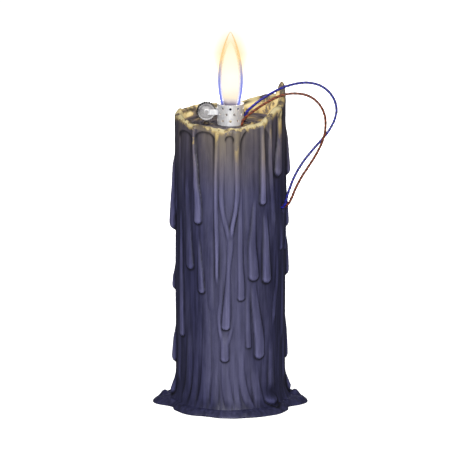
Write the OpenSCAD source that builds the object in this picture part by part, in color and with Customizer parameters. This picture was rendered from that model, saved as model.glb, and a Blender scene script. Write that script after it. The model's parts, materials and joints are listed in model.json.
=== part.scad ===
// Trick candle: a dripping wax pillar with a flint lighter top, a flame-shaped lamp and two
// insulated leads that arch out of the wax and back in at its side.
// Frame: origin on the candle's axis at the table, +Z up, -Y towards the side hole's front.

/* [Wax] */
// Radius of the pillar between its drips
body_r = 37; // [33:0.5:46]
// Height of the level part of the rim
rim_z = 198; // [165:1:240]
// Wall of the pillar round the bore
wax_wall = 6; // [5:0.5:9]
// Wall of the rim round the melted well
rim_wall = 4.4; // [3.5:0.1:5]
// Depth of the well below the rim
well_depth = 6.6; // [5:0.1:9]
// Thickness of the poured floor of the well
floor_t = 4.6; // [3:0.1:7]
// Reach of the spilled foot past the pillar, left and right
foot_side = 14.5; // [10:0.5:18]
// Reach of the spilled foot past the pillar, front and back
foot_front = 8.5; // [6:0.5:12]
// Thickness of the spilled foot
foot_t = 4.5; // [3:0.1:7]
// Height at which the foot has melted into the pillar
foot_blend_h = 20; // [14:1:30]

/* [Chimney] */
// Outer radius of the windscreen
chimney_r = 8.9; // [7.4:0.1:9]
// Sheet thickness of the windscreen
chimney_wall = 0.6; // [0.4:0.1:1]
// Height of the windscreen above the well floor
chimney_h = 13.6; // [12:0.1:18]
// Radius of one air hole
air_hole_r = 0.85; // [0.5:0.05:1]
// Air holes in one row
air_holes = 10; // [6:2:12]

/* [Striker] */
// Radius over the teeth of the striker wheel
wheel_r = 6.8; // [5.5:0.1:7]
// Width of the striker wheel
wheel_w = 4.4; // [3.5:0.1:6]
// Number of teeth
wheel_teeth = 24; // [16:1:32]
// Height of a tooth
tooth_h = 0.8; // [0.5:0.05:1.2]
// Height of the wheel's axle above the well floor
wheel_lift = 8.1; // [7.6:0.1:9.5]
// Radius of the wheel's pin
wheel_pin_r = 0.9; // [0.7:0.05:1.2]
// Thickness of one cheek
cheek_t = 0.8; // [0.5:0.1:1.2]
// Radius of the cheek's round end
cheek_r = 1.75; // [1.5:0.05:2.2]
// Radius of the flint
flint_r = 1.25; // [1:0.05:1.4]
// Wall of the flint tube
flint_tube_wall = 0.4; // [0.3:0.05:0.6]

/* [Flame lamp] */
// Widest radius of the flame
flame_r = 8.3; // [7:0.1:10]
// Radius of the flame where it stands on the lamp cap
flame_base_r = 4.3; // [3.8:0.1:4.4]
// Height of the flame
flame_h = 60; // [45:1:72]
// Wall of the flame's clear shell
flame_wall = 0.8; // [0.6:0.1:1.2]
// Radius of the brass lamp cap
lamp_cap_r = 4.9; // [4.6:0.1:5.4]
// Wall of the brass lamp cap
lamp_cap_wall = 0.4; // [0.3:0.1:0.6]
// Radius of the lamp socket
socket_r = 8; // [7.5:0.1:9]

/* [Leads] */
// Diameter over the insulation of a lead
lead_d = 1.8; // [1.4:0.1:1.8]
// Radius of the side hole for the leads
side_hole_r = 3.2; // [3:0.1:4]

/* [Inside] */
// Wall of the inner can
can_wall = 2; // [1.5:0.1:3]
// Radius of one round cell
cell_r = 7.25; // [5.25:0.05:7.25]
// Length of one round cell
cell_l = 50.5; // [44:0.5:51]
// Distance of the cells' axes from the candle's axis
cell_ring_r = 9.5; // [9.4:0.1:10]
// Radius of the driver board
board_r = 20; // [15:0.5:22]
// Height of the driver board above the battery tray
board_lift = 8; // [6:0.5:20]

/* [Underside] */
// Thickness of the base plate
base_t = 2.5; // [2.5:0.1:4]
// Height of the rubber feet
foot_pad_h = 1; // [0.8:0.1:2]
// Radius of a rubber foot
foot_pad_r = 3.5; // [2.5:0.1:4]
// Thickness of the battery door
door_t = 2; // [1.6:0.1:2.2]
// Radius of the battery door's hinge pin
hinge_pin_r = 0.6; // [0.4:0.05:0.7]
// Travel of the switch
switch_travel = 4; // [2:0.5:5]

/* [Fits] */
// Radial gap of a shaft that turns in its hole
running_gap = 0.05; // [0.02:0.01:0.1]
// Gap round pieces that are put together and stay
seat_gap = 0.1; // [0.05:0.01:0.15]
// Gap beside pieces that slide or swing past each other
swing_gap = 0.3; // [0.2:0.05:0.5]

/* [Hidden] */
$fn = 96;
cut = 2;               // how far a cutter runs past what it cuts
press_gap = 0.02;      // round a pin that is pressed in

// ---- heights and radii that follow from the sizes above
bore_r = body_r - wax_wall;
well_r = bore_r + 1;
floor_z = rim_z - well_depth;
plate_top_z = floor_z - floor_t;
plate_t = 0.8;
plate_z = plate_top_z - plate_t;
can_top_t = 2;
can_gap = 0.4;         // round the can, so that the wax is cast freely over it
can_r = bore_r - can_gap;
can_in_r = can_r - can_wall;
base_gap = 0.2;        // round the base plate
base_r = bore_r - base_gap;
base_z = foot_pad_h;
base_top_z = base_z + base_t;

// ---- the wax pillar's drips: [angle, half width in degrees, top, end, how far it stands out]
drips = [
    [180, 8, 172, 118, 4.4], [-172, 7, 138, 80, 2.6], [176, 8, 60, 27, 3],
    [4, 8, 190, 157, 3], [-5, 6, 150, 121, 2], [5, 8, 118, 88, 2.8], [0, 8, 62, 30, 2],
    [-137, 9, 192, 90, 1.7], [-121, 6, 130, 75, 1.7], [-150, 7, 120, 45, 1.9],
    [-95, 6, 130, 50, 1.7], [-79, 6, 150, 68, 1.7], [-65, 7, 130, 84, 1.9],
    [-50, 8, 115, 82, 2], [-60, 7, 80, 29, 1.8], [-32, 8, 192, 154, 2],
    [24, 7, 192, 140, 2], [40, 8, 170, 60, 2.2], [58, 7, 188, 110, 1.9],
    [75, 8, 150, 40, 2.3], [92, 7, 188, 95, 2], [108, 8, 130, 20, 2.2],
    [124, 7, 188, 130, 1.8], [141, 8, 160, 70, 2.3], [159, 7, 185, 50, 1.9]];
// rim lobes over the level part: [angle, half width in degrees, height]
lobes = [[32, 62, 9.3], [16, 15, 10], [10, 12, 2.5], [-4, 20, 8], [-27, 34, 8.5],
    [-100, 55, -2.8], [180, 40, 1]];
spike_angle = 16;
spike_half_width = 14;
// lobes of the spilled foot past its round part: [angle, half width in degrees, height]
foot_lobes = [[-134, 20, 1.6], [-46, 26, 2.4], [44, 22, 1.4], [128, 26, 2.2], [-173, 20, 3],
    [-7, 18, 2.6]];
foot_tip_half_width = 30;
puddle_share = 0.55;   // how much of the foot's reach is its round edge; the rest is its slope
drip_thin = 0.45;      // how far a drip stands out at its top, as a share of its bulb
drip_start_h = 12;     // height over which a drip rises from the pillar at its top
drip_end_h = 7;        // height over which its bulb ends
spike_thinning = 0.4;  // how much thinner the rim is at its spike
well_fillet = [[0.4, 2], [0, 0.7], [-0.8, 0]];   // the well wall's foot: [outward, up]
pillar_rings = 28;     // rings up the pillar between the foot and the rim
rim_rings = 6;         // steps over the half-round rim
around = 80;           // points round the pillar
rim_round_h = 3;
rim_band_h = 12;       // band under the rim in which the rings start to follow it

// a hump of height 1 at 0 that is level and 0 at -1 and 1
function hump(u) = abs(u) < 1 ? 0.5 + 0.5 * cos(180 * u) : 0;
function step_up(u) = let (v = max(0, min(1, u))) v * v * (3 - 2 * v);
function turn(a) = let (b = (a + 540) % 360) b - 180;
function sum(v, i = 0) = i < len(v) ? v[i] + sum(v, i + 1) : 0;

function rim_height(a) = rim_z + sum([for (l = lobes) l[2] * hump(turn(a - l[0]) / l[1])]);
// a drip starts thin at its top and ends in a round bulb
function drip_at(d, a, z) = d[4] * hump(turn(a - d[0]) / d[1])
    * (z > d[2] ? 0 : drip_thin + (1 - drip_thin) * step_up((d[2] - z) / (d[2] - d[3])))
    * step_up((d[2] - z) / drip_start_h) * step_up((z - d[3]) / drip_end_h);
function pillar_r(a, z) = body_r + sum([for (d = drips) drip_at(d, a, z)]);
function foot_r(a) = body_r + foot_front
    + (foot_side - foot_front) * hump(turn(a) / foot_tip_half_width)
    + (foot_side - foot_front) * hump(turn(a - 180) / foot_tip_half_width)
    + sum([for (l = foot_lobes) l[2] * hump(turn(a - l[0]) / l[1])]);
// the foot is a puddle with a round edge and a soft slope up to the pillar
function foot_share(z) = puddle_share * (z < foot_t ? sqrt(1 - pow(max(z, 0) / foot_t, 2)) : 0)
    + (1 - puddle_share) * (z < foot_blend_h ? pow(1 - max(z, 0) / foot_blend_h, 3) : 0);
function outer_r(a, z) = let (p = pillar_r(a, z)) p + (foot_r(a) - p) * foot_share(z);

// one station of the closed outline at angle a: up the outside, over the rim, down the bore
foot_levels = [-cut, 0.1, 1.2, 2.3, 3.1, 3.8, 4.3, 4.6, 6, 9, 13, 18];
band_z = rim_z - rim_band_h;
function rim_thickness(a) = rim_wall
    * (1 - spike_thinning * hump(turn(a - spike_angle) / spike_half_width));
function outline(a) = let (
    top_z = rim_height(a),
    spring_z = top_z - rim_round_h,
    first_z = foot_levels[len(foot_levels) - 1],
    out_r = outer_r(a, band_z),
    half_t = rim_thickness(a) / 2) concat(
    [for (z = foot_levels) [outer_r(a, z), z]],
    [for (k = [1 : pillar_rings]) let (z = first_z + (band_z - first_z) * k / pillar_rings)
        [outer_r(a, z), z]],
    [for (k = [1 : 3]) let (z = band_z + (spring_z - band_z) * k / 3)
        [outer_r(a, min(z, band_z)) * (1 - k / 3) + body_r * k / 3, z]],
    [for (k = [1 : rim_rings]) let (t = 180 * k / rim_rings)
        [body_r - half_t + half_t * cos(t), spring_z + rim_round_h * sin(t)]],
    [for (f = well_fillet) [well_r + f[0], floor_z + f[1]]],
    [for (share = [1, 0.5]) [bore_r - 1, floor_z * share]], [[bore_r - 1, -cut]]);

// a closed ring of quads, split into triangles, from a grid that wraps both ways
function ring_faces(rows, cols) = [for (i = [0 : rows - 1], j = [0 : cols - 1]) let (
    a = i * cols + j,
    b = ((i + 1) % rows) * cols + j,
    c = ((i + 1) % rows) * cols + (j + 1) % cols,
    d = i * cols + (j + 1) % cols) each [[a, b, c], [a, c, d]]];

// ---- the leads' routes, from the well floor over the rim and down to the side hole
hole_angle = -20;
hole_z = rim_z - 61;
hole_mouth_r = body_r - 2;
hole_dir = [cos(hole_angle), sin(hole_angle), 0];
blue_points = [[9, 6, 191.4], [9.4, 6, 195], [11.5, 5.7, 198.5], [15.1, 5.2, 202],
    [20.3, 4.5, 206.4], [27.3, 3.5, 211], [33.8, 2.5, 214.6], [39, 1.8, 216.6],
    [44.6, 0.8, 218.1], [50.4, 0, 218.8], [55.5, -0.8, 218.3], [60.6, -1.6, 216.5],
    [64.6, -2.4, 213.6], [67.8, -3.2, 209.6], [69.6, -4, 205.4], [70.2, -4.7, 201],
    [69.2, -5.5, 196], [67, -6.4, 191], [64, -7.2, 186.2], [60.6, -7.9, 182.2],
    [56.8, -8.7, 178], [52.8, -9.5, 173.4], [48.5, -10.5, 168], [44.8, -11.5, 162.4],
    [41.8, -12.5, 156.6], [39.4, -13.4, 150.6], [37.7, -14.1, 145.4],
    [36.8, -14.4, 141.4], [35.5, -14.1, 138.3], [34.1, -13.7, 137.3], [32.48, -13.1, 137]];
brown_points = [[7.5, -7, 191.4], [8, -7, 194.2], [9.9, -7.1, 196.6], [12.7, -7.3, 199.2],
    [16.5, -7.6, 202.1], [20.3, -7.9, 204.8], [24.5, -8.2, 207.4], [29.1, -8.5, 210],
    [34.3, -8.9, 212.2], [39, -9.2, 213.2], [44, -9.5, 213.4], [49.4, -9.8, 212.6],
    [54.2, -10.1, 210.4], [58, -10.3, 207], [60.9, -10.5, 202.6], [62.5, -10.7, 197.6],
    [62.8, -10.8, 192.4], [62.4, -10.9, 187.4], [61.1, -11, 182.4], [58.7, -11.1, 176.6],
    [55.5, -11.2, 170.6], [52, -11.3, 165], [48.5, -11.5, 159.6], [45.3, -11.8, 154],
    [42.6, -12.1, 148.4], [40.6, -12.4, 143.4], [38.6, -12.3, 139.6],
    [36, -11.6, 137.5], [33.31, -10.84, 137]];
lead_sides = 8;
// the points are for this pillar; past the start of the well's wall they follow its real radius
points_body_r = 37;
points_floor_z = 191.4;
points_fixed_r = 12;
points_free_r = 26;
function tied(points) = [for (p = points)
    let (share = step_up((norm([p[0], p[1]]) - points_fixed_r) / (points_free_r - points_fixed_r)))
    p + (body_r - points_body_r) * share * hole_dir + [0, 0, floor_z - points_floor_z]];
blue_route = tied(blue_points);
brown_route = tied(brown_points);

function unit(v) = v / norm(v);
// a tube of a given radius along a route, square to its first and last directions
module sweep(route, r, sides, first_dir, last_dir) {
    n = len(route);
    points = [for (i = [0 : n - 1]) let (
        along = i == 0 ? first_dir : i == n - 1 ? last_dir
            : unit(unit(route[i + 1] - route[i]) + unit(route[i] - route[i - 1])),
        across = unit(cross([0, 1, 0], along)),
        up = cross(along, across))
        for (j = [0 : sides - 1])
            route[i] + r * (across * cos(360 * j / sides) + up * sin(360 * j / sides))];
    skin = [for (i = [0 : n - 2], j = [0 : sides - 1]) let (
        a = i * sides + j, b = i * sides + (j + 1) % sides)
        each [[a, a + sides, b], [b, a + sides, b + sides]]];
    caps = [[for (j = [0 : sides - 1]) j],
        [for (j = [0 : sides - 1]) n * sides - 1 - j]];
    polyhedron(points, concat(skin, caps));
}

// a coil spring standing on z = 0
module coil(coil_r, wire_r, height, turns, steps, sides) {
    n = turns * steps;
    rise = height - 2 * wire_r;
    points = [for (i = [0 : n]) let (a = 360 * i / steps) for (j = [0 : sides - 1]) let (
        r = coil_r + wire_r * cos(360 * j / sides),
        z = wire_r + rise * i / n + wire_r * sin(360 * j / sides))
        [r * cos(a), r * sin(a), z]];
    skin = [for (i = [0 : n - 1], j = [0 : sides - 1]) let (
        a = i * sides + j, b = i * sides + (j + 1) % sides)
        each [[a, b, a + sides], [b, b + sides, a + sides]]];
    caps = [[for (j = [0 : sides - 1]) sides - 1 - j],
        [for (j = [0 : sides - 1]) n * sides + j]];
    polyhedron(points, concat(skin, caps));
}

// a cylinder along the side hole, from one distance off the candle's axis to another
module along_side_hole(r, from_r, to_r) {
    translate([from_r * hole_dir[0], from_r * hole_dir[1], hole_z])
        rotate([0, 90, hole_angle]) cylinder(r = r, h = to_r - from_r);
}

// places its children on a circle
module on_ring(r, angles) {
    for (a = angles) rotate([0, 0, a]) translate([r, 0, 0]) children();
}

module tube(outer, inner, h) {
    difference() {
        cylinder(r = outer, h = h);
        translate([0, 0, -cut]) cylinder(r = inner, h = h + 2 * cut);
    }
}

// ---- wax
module wax_body() {
    rows = len(outline(0));
    stations = [for (j = [0 : around - 1]) outline(360 * j / around)];
    points = [for (i = [0 : rows - 1], j = [0 : around - 1]) let (
        a = 360 * j / around, p = stations[j][i]) [p[0] * cos(a), p[0] * sin(a), p[1]]];
    span = 2 * (max([for (j = [0 : around - 1]) foot_r(360 * j / around)]) + cut);
    color([0.25, 0.24, 0.34]) difference() {
        polyhedron(points, ring_faces(rows, around));
        translate([-span / 2, -span / 2, -2 * cut]) cube([span, span, 2 * cut]);
        translate([0, 0, -2 * cut]) cylinder(r = bore_r, h = floor_z + 2 * cut + 1);
        along_side_hole(side_hole_r, bore_r - cut, body_r + foot_side);
    }
}

module wax_floor() {
    color([0.85, 0.72, 0.45]) translate([0, 0, plate_top_z]) difference() {
        cylinder(r = bore_r - running_gap, h = floor_t);
        translate([0, 0, -cut]) cylinder(r = chimney_r + running_gap, h = floor_t + 2 * cut);
        translate([0, 0, -cut]) flint_hole(floor_t);
        translate([0, 0, -cut]) lead_holes(floor_t);
    }
}

// ---- where things stand in the well
wheel_z = floor_z + wheel_lift;
wheel_gap = 0.2;       // between the wheel's teeth and the chimney
wheel_x = -(chimney_r + wheel_r + wheel_gap);
flint_gap = 0.25;      // round the flint, which slides as it wears
flint_tube_r = flint_r + flint_gap + flint_tube_wall;
flint_tube_in_r = flint_tube_r - flint_tube_wall;
flint_tube_top = wheel_z - wheel_r - 0.5;
flint_tube_drop = 20;  // how far the tube hangs below the can's top
flint_tube_z = plate_z - can_top_t - flint_tube_drop;
flint_top = flint_tube_top + 0.2;
flint_l = 5;
flint_screw_l = 4;
lead_r = lead_d / 2;
lead_starts = [blue_route[0], brown_route[0]];

module flint_hole(t) {
    translate([wheel_x, 0, 0]) cylinder(r = flint_tube_r + seat_gap, h = t + 2 * cut);
}

module lead_holes(t) {
    for (p = lead_starts) translate([p[0], p[1], 0])
        cylinder(r = lead_r + seat_gap, h = t + 2 * cut);
}

// ---- inner can that carries the burner on top and the base plate below
can_z = base_top_z;
can_top_z = plate_z;
boss_h = 10;
boss_r = 3.4;
base_screw_ring = can_in_r - boss_r + 0.8;   // the bosses are moulded into the can's wall
base_screw_angles = [0, 90, 180];
burner_head_r = 2.8;
burner_screw_ring = can_in_r - burner_head_r - 1.8;
burner_screw_angles = [90, 210, 330];
screw_r = 1.45;
socket_neck_r = 6.5;
grommet_r = side_hole_r - 0.2;

module inner_can() {
    color([0.82, 0.82, 0.84]) difference() {
        union() {
            translate([0, 0, can_z]) tube(can_r, can_in_r, can_top_z - can_z);
            translate([0, 0, can_top_z - can_top_t]) cylinder(r = can_r - 1, h = can_top_t);
            on_ring(base_screw_ring, base_screw_angles)
                translate([0, 0, can_z]) cylinder(r = boss_r, h = boss_h);
        }
        on_ring(base_screw_ring, base_screw_angles)
            translate([0, 0, can_z - cut]) cylinder(r = screw_r + running_gap, h = boss_h);
        translate([0, 0, can_top_z - can_top_t - cut]) {
            cylinder(r = socket_neck_r + seat_gap, h = can_top_t + 2 * cut);
            flint_hole(can_top_t);
            lead_holes(can_top_t);
            on_ring(burner_screw_ring, burner_screw_angles)
                cylinder(r = screw_r + running_gap, h = can_top_t + 2 * cut);
        }
        along_side_hole(grommet_r + running_gap, can_in_r - cut, can_r + cut);
    }
}

module burner_plate() {
    color([0.78, 0.78, 0.8]) translate([0, 0, plate_z]) difference() {
        cylinder(r = can_r, h = plate_t);
        translate([0, 0, -cut]) {
            cylinder(r = lamp_cap_r + 2 * seat_gap, h = plate_t + 2 * cut);
            flint_hole(plate_t);
            lead_holes(plate_t);
            on_ring(burner_screw_ring, burner_screw_angles)
                cylinder(r = screw_r + running_gap, h = plate_t + 2 * cut);
        }
    }
}

// a screw pointing up with its head under z = 0 and a cross slot in the head
slot_w = 0.6;
module screw(shank_r, shank_l, head_r, head_h) {
    slot_half = head_r * 0.6;
    cylinder(r = shank_r, h = shank_l);
    difference() {
        translate([0, 0, -head_h]) cylinder(r = head_r, h = head_h);
        for (a = [0, 90]) rotate([0, 0, a])
            translate([-slot_half, -slot_w / 2, -head_h - cut])
                cube([2 * slot_half, slot_w, head_h / 2 + cut]);
    }
}

module burner_screws() {
    color([0.6, 0.6, 0.62]) on_ring(burner_screw_ring, burner_screw_angles)
        translate([0, 0, can_top_z - can_top_t])
            screw(screw_r, can_top_t + plate_t, burner_head_r, 1.8);
}

// ---- lighter top
chimney_rows = [0.22, 0.54, 0.82];   // heights of the rows of air holes, as shares

module chimney() {
    color([0.86, 0.86, 0.88]) translate([0, 0, plate_top_z]) difference() {
        tube(chimney_r, chimney_r - chimney_wall, floor_t + chimney_h);
        for (k = [0 : len(chimney_rows) - 1], j = [0 : air_holes - 1])
            rotate([0, 0, -90 + 360 * (j + (k % 2) / 2) / air_holes])
                translate([chimney_r - chimney_wall - cut, 0, floor_t + chimney_h * chimney_rows[k]])
                    rotate([0, 90, 0])
                        cylinder(r = air_hole_r, h = chimney_wall + 2 * cut);
    }
}

cheek_y = wheel_w / 2 + swing_gap;

module wheel_cheeks() {
    color([0.8, 0.8, 0.82]) difference() {
        for (side = [-1, 1]) translate([wheel_x, side * (cheek_y + cheek_t / 2), wheel_z]) {
            rotate([90, 0, 0]) cylinder(r = cheek_r, h = cheek_t, center = true);
            translate([0, -cheek_t / 2, -cheek_r]) cube([-wheel_x, cheek_t, 2 * cheek_r]);
        }
        translate([0, 0, wheel_z - wheel_r]) cylinder(r = chimney_r, h = 2 * wheel_r);
        translate([wheel_x, 0, wheel_z]) rotate([90, 0, 0])
            cylinder(r = wheel_pin_r + press_gap, h = wheel_w * 4, center = true);
    }
}

module wheel_pin() {
    pin_l = 2 * (cheek_y + cheek_t);
    head_t = 0.6;
    head_r = wheel_pin_r + 0.6;
    color([0.7, 0.7, 0.72]) translate([wheel_x, 0, wheel_z]) rotate([90, 0, 0]) {
        cylinder(r = wheel_pin_r, h = pin_l + 2 * head_t, center = true);
        for (side = [-1, 1]) translate([0, 0, side * (pin_l + head_t) / 2])
            cylinder(r = head_r, h = head_t, center = true);
    }
}

module striker_wheel() {
    pitch = 360 / wheel_teeth;
    tooth_half = 0.3 * pitch;
    root_r = wheel_r - tooth_h;
    recess_r = wheel_r * 0.66;
    recess_d = 0.7;
    hub_r = wheel_pin_r + 1.3;
    outline = [for (k = [0 : wheel_teeth - 1]) each [
        root_r * [cos(pitch * k - tooth_half), sin(pitch * k - tooth_half)],
        wheel_r * [cos(pitch * k), sin(pitch * k)],
        root_r * [cos(pitch * k + tooth_half), sin(pitch * k + tooth_half)]]];
    color([0.75, 0.75, 0.77]) translate([wheel_x, 0, wheel_z]) rotate([90, 0, 0])
        difference() {
            linear_extrude(wheel_w, center = true) polygon(outline);
            for (side = [-1, 1]) translate([0, 0, side * wheel_w / 2]) difference() {
                cylinder(r = recess_r, h = 2 * recess_d, center = true);
                cylinder(r = hub_r, h = 4 * recess_d, center = true);
            }
            cylinder(r = wheel_pin_r + running_gap, h = 2 * wheel_w, center = true);
        }
}

module flint_tube() {
    color([0.7, 0.62, 0.4]) translate([wheel_x, 0, flint_tube_z])
        tube(flint_tube_r, flint_tube_in_r, flint_tube_top - flint_tube_z);
}

module flint() {
    color([0.25, 0.25, 0.27]) translate([wheel_x, 0, flint_top - flint_l])
        cylinder(r = flint_r, h = flint_l);
}

module flint_spring() {
    from_z = flint_tube_z + flint_screw_l;
    wire_r = 0.15;
    color([0.7, 0.7, 0.7]) translate([wheel_x, 0, from_z])
        coil(flint_r - wire_r - 0.05, wire_r, flint_top - flint_l - from_z,
            turns = 12, steps = 10, sides = 5);
}

module flint_screw() {
    color([0.75, 0.65, 0.4]) translate([wheel_x, 0, flint_tube_z])
        screw(flint_tube_in_r - running_gap, flint_screw_l, flint_tube_r + 0.6, 1.6);
}

// ---- lamp
socket_bore_r = lamp_cap_r + seat_gap;
socket_l = 12;
socket_floor_t = 3;
socket_z = can_top_z - can_top_t - socket_l;
ear_r = 3;
ear_t = 3;
ear_screw_r = 0.9;
ear_screw_l = ear_t - 0.5;
contact_r = 1.2;
contact_proud = 0.45;  // how far the middle contact stands over the socket's floor
cap_z = socket_z + socket_floor_t + 0.5;
cap_proud = 1.6;       // how far the cap stands over the well's floor
cap_top_z = floor_z + cap_proud;

module lamp_socket() {
    color([0.92, 0.9, 0.84]) difference() {
        union() {
            translate([0, 0, socket_z]) cylinder(r = socket_r, h = socket_l);
            translate([0, 0, socket_z + socket_l]) cylinder(r = socket_neck_r, h = can_top_t);
            for (p = lead_starts) translate([p[0], p[1], socket_z])
                cylinder(r = ear_r, h = ear_t);
        }
        translate([0, 0, socket_z + socket_floor_t])
            cylinder(r = socket_bore_r, h = socket_l + can_top_t);
        translate([0, 0, socket_z - cut])
            cylinder(r = contact_r + seat_gap, h = socket_floor_t + 2 * cut);
        for (p = lead_starts) translate([p[0], p[1], socket_z - cut])
            cylinder(r = ear_screw_r + running_gap, h = ear_screw_l + cut + seat_gap);
    }
}

module socket_contact() {
    color([0.85, 0.7, 0.35]) translate([0, 0, socket_z])
        screw(contact_r, socket_floor_t + contact_proud, 2.6, 0.8);
}

module terminal_screws() {
    color([0.8, 0.7, 0.4]) for (p = lead_starts) translate([p[0], p[1], socket_z])
        screw(ear_screw_r, ear_screw_l, 2, 1.4);
}

module lamp_cap() {
    h = cap_top_z - cap_z;
    w = lamp_cap_wall;
    hole = 1;
    color([0.85, 0.68, 0.32]) translate([0, 0, cap_z]) rotate_extrude() polygon([
        [0, 0], [lamp_cap_r, 0], [lamp_cap_r, h], [hole, h], [hole, h - w],
        [lamp_cap_r - w, h - w], [lamp_cap_r - w, w], [0, w]]);
}

emitter_board_t = 0.9;
emitter_dome_r = 1.6;

module led_emitter() {
    color([0.95, 0.95, 0.85]) translate([0, 0, cap_top_z]) {
        cylinder(r = flame_base_r - flame_wall - seat_gap, h = emitter_board_t);
        translate([0, 0, emitter_board_t]) difference() {
            sphere(r = emitter_dome_r);
            translate([0, 0, -2 * emitter_dome_r - emitter_board_t / 2])
                cylinder(r = 2 * emitter_dome_r, h = 2 * emitter_dome_r);
        }
    }
}

// radius of the flame at share u of its height: it swells from its foot, then runs to a point
flame_belly = 0.45;
flame_foot = 1.5;      // over 1 its foot is hollow
flame_point = 0.7;     // under 1 the flame's tip is blunt
function flame_at(u, foot_r, belly_r) = u < flame_belly
    ? foot_r + (belly_r - foot_r) * pow(sin(90 * u / flame_belly), flame_foot)
    : belly_r * pow(cos(90 * (u - flame_belly) / (1 - flame_belly)), flame_point);
flame_steps = 40;
function flame_curve(foot_r, belly_r, h) =
    [for (i = [0 : flame_steps]) let (u = i / flame_steps)
        [i == flame_steps ? 0 : flame_at(u, foot_r, belly_r), h * u]];

module flame_shell() {
    outer = flame_curve(flame_base_r, flame_r, flame_h);
    inner = flame_curve(flame_base_r - flame_wall, flame_r - flame_wall,
        flame_h - 3 * flame_wall);
    color([1, 0.9, 0.7]) translate([0, 0, cap_top_z]) rotate_extrude()
        polygon(concat(outer, [for (i = [0 : flame_steps]) inner[flame_steps - i]]));
}

module flame_core() {
    inset = flame_wall + 1;
    lift = emitter_board_t + emitter_dome_r + seat_gap;
    color([1, 0.97, 0.9]) translate([0, 0, cap_top_z + lift]) rotate_extrude()
        polygon(concat([[0, 0]],
            flame_curve(flame_base_r - inset, flame_r - inset, flame_h - lift - 7 * flame_wall)));
}

// ---- leads
module lead_blue() {
    color([0.12, 0.12, 0.55])
        sweep(blue_route, lead_r, lead_sides, [0, 0, 1], -hole_dir);
}

module lead_brown() {
    color([0.54, 0.27, 0.16])
        sweep(brown_route, lead_r, lead_sides, [0, 0, 1], -hole_dir);
}

// inside, each lead runs from the socket's ear up to the floor, and from the grommet
// down to the driver board
module inner_leads(start, sideways) {
    inner_r = hole_mouth_r - grommet_l;
    side = [-hole_dir[1], hole_dir[0], 0] * sideways;
    inward = inner_r - (board_r - 2.6);
    drop = hole_z - board_top_z;
    // [inward share, distance down]
    route = [for (p = [[0, 0], [0.31, 0.6], [0.62, 4], [0.83, 12], [0.94, 30], [1, drop - 8],
        [1, drop]]) hole_dir * (inner_r - inward * p[0]) + side + [0, 0, hole_z - p[1]]];
    sweep(route, lead_r, lead_sides, -hole_dir, [0, 0, -1]);
    translate([start[0], start[1], socket_z + ear_t])
        cylinder(r = lead_r, h = floor_z - socket_z - ear_t);
}

module inner_leads_blue() {
    color([0.12, 0.12, 0.55]) inner_leads(blue_route[0], -lead_spacing / 2);
}

module inner_leads_brown() {
    color([0.54, 0.27, 0.16]) inner_leads(brown_route[0], lead_spacing / 2);
}

lead_spacing = 2.4;
grommet_flange_t = 1.2;
grommet_l = hole_mouth_r - can_in_r + grommet_flange_t + 0.4;

module lead_grommet() {
    flange_z = hole_mouth_r - grommet_l;
    color([0.12, 0.12, 0.13]) {
        along_side_hole(grommet_r, flange_z, hole_mouth_r);
        along_side_hole(grommet_r + grommet_flange_t, flange_z, flange_z + grommet_flange_t);
    }
}

// ---- driver board
tray_wall = 1.6;
cell_gap = 0.25;       // round a cell in its bay
tray_r = cell_ring_r + cell_r + cell_gap + tray_wall;
tray_z = base_top_z;
spring_bay_h = 5.5;    // room under the cells for their springs
cell_z = tray_z + spring_bay_h;
tray_top_t = 2;
contact_t = 0.5;
tray_top_z = cell_z + cell_l + contact_t + tray_top_t;
board_z = tray_top_z + board_lift;
board_t = 1.6;
board_top_z = board_z + board_t;
cell_angles = [90, 210, 330];
spacer_angles = [30, 150, 270];
spacer_ring = cell_ring_r + 3;
contact_pin_r = 0.6;
contact_pad_r = cell_r - 2.25;

module driver_board() {
    color([0.1, 0.4, 0.22]) translate([0, 0, board_z]) difference() {
        cylinder(r = board_r, h = board_t);
        translate([0, 0, -cut]) on_ring(cell_ring_r, cell_angles)
            cylinder(r = contact_pin_r + seat_gap, h = board_t + 2 * cut);
        translate([0, 0, -cut]) on_ring(spacer_ring, spacer_angles)
            cylinder(r = screw_r + running_gap, h = board_t + 2 * cut);
    }
}

// the board's parts: [x, y, width, depth, height], and one round capacitor
board_blocks = [[-2, 2.5, 6, 5, 1.6], [2, -6, 3.5, 7, 4], [-6.6, 4.2, 3.2, 1.6, 1],
    [-6.6, 7.2, 3.2, 1.6, 1]];

module board_parts() {
    color([0.15, 0.15, 0.16]) translate([0, 0, board_top_z]) {
        translate([-6.5, -4, 0]) cylinder(r = 4, h = 9);
        for (b = board_blocks) translate([b[0], b[1], 0]) cube([b[2], b[3], b[4]]);
    }
}

module board_spacers() {
    color([0.75, 0.7, 0.5]) on_ring(spacer_ring, spacer_angles) {
        translate([0, 0, tray_top_z]) cylinder(r = 2.5, h = board_lift);
        translate([0, 0, board_z]) cylinder(r = screw_r, h = board_t);
        translate([0, 0, board_top_z]) cylinder(r = 2.4, h = 1.4);
    }
}

// ---- cells and contacts
module battery_tray() {
    color([0.2, 0.2, 0.22]) difference() {
        translate([0, 0, tray_z]) cylinder(r = tray_r, h = tray_top_z - tray_z);
        on_ring(cell_ring_r, cell_angles) {
            translate([0, 0, tray_z - cut])
                cylinder(r = cell_r + cell_gap, h = tray_top_z - tray_top_t - tray_z + cut);
            translate([0, 0, tray_z]) cylinder(r = contact_pin_r + seat_gap, h = tray_top_z);
        }
    }
}

module top_contacts() {
    color([0.85, 0.85, 0.8]) on_ring(cell_ring_r, cell_angles) {
        translate([0, 0, cell_z + cell_l]) cylinder(r = contact_pad_r, h = contact_t);
        translate([0, 0, cell_z + cell_l])
            cylinder(r = contact_pin_r, h = board_top_z - cell_z - cell_l);
    }
}

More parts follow.
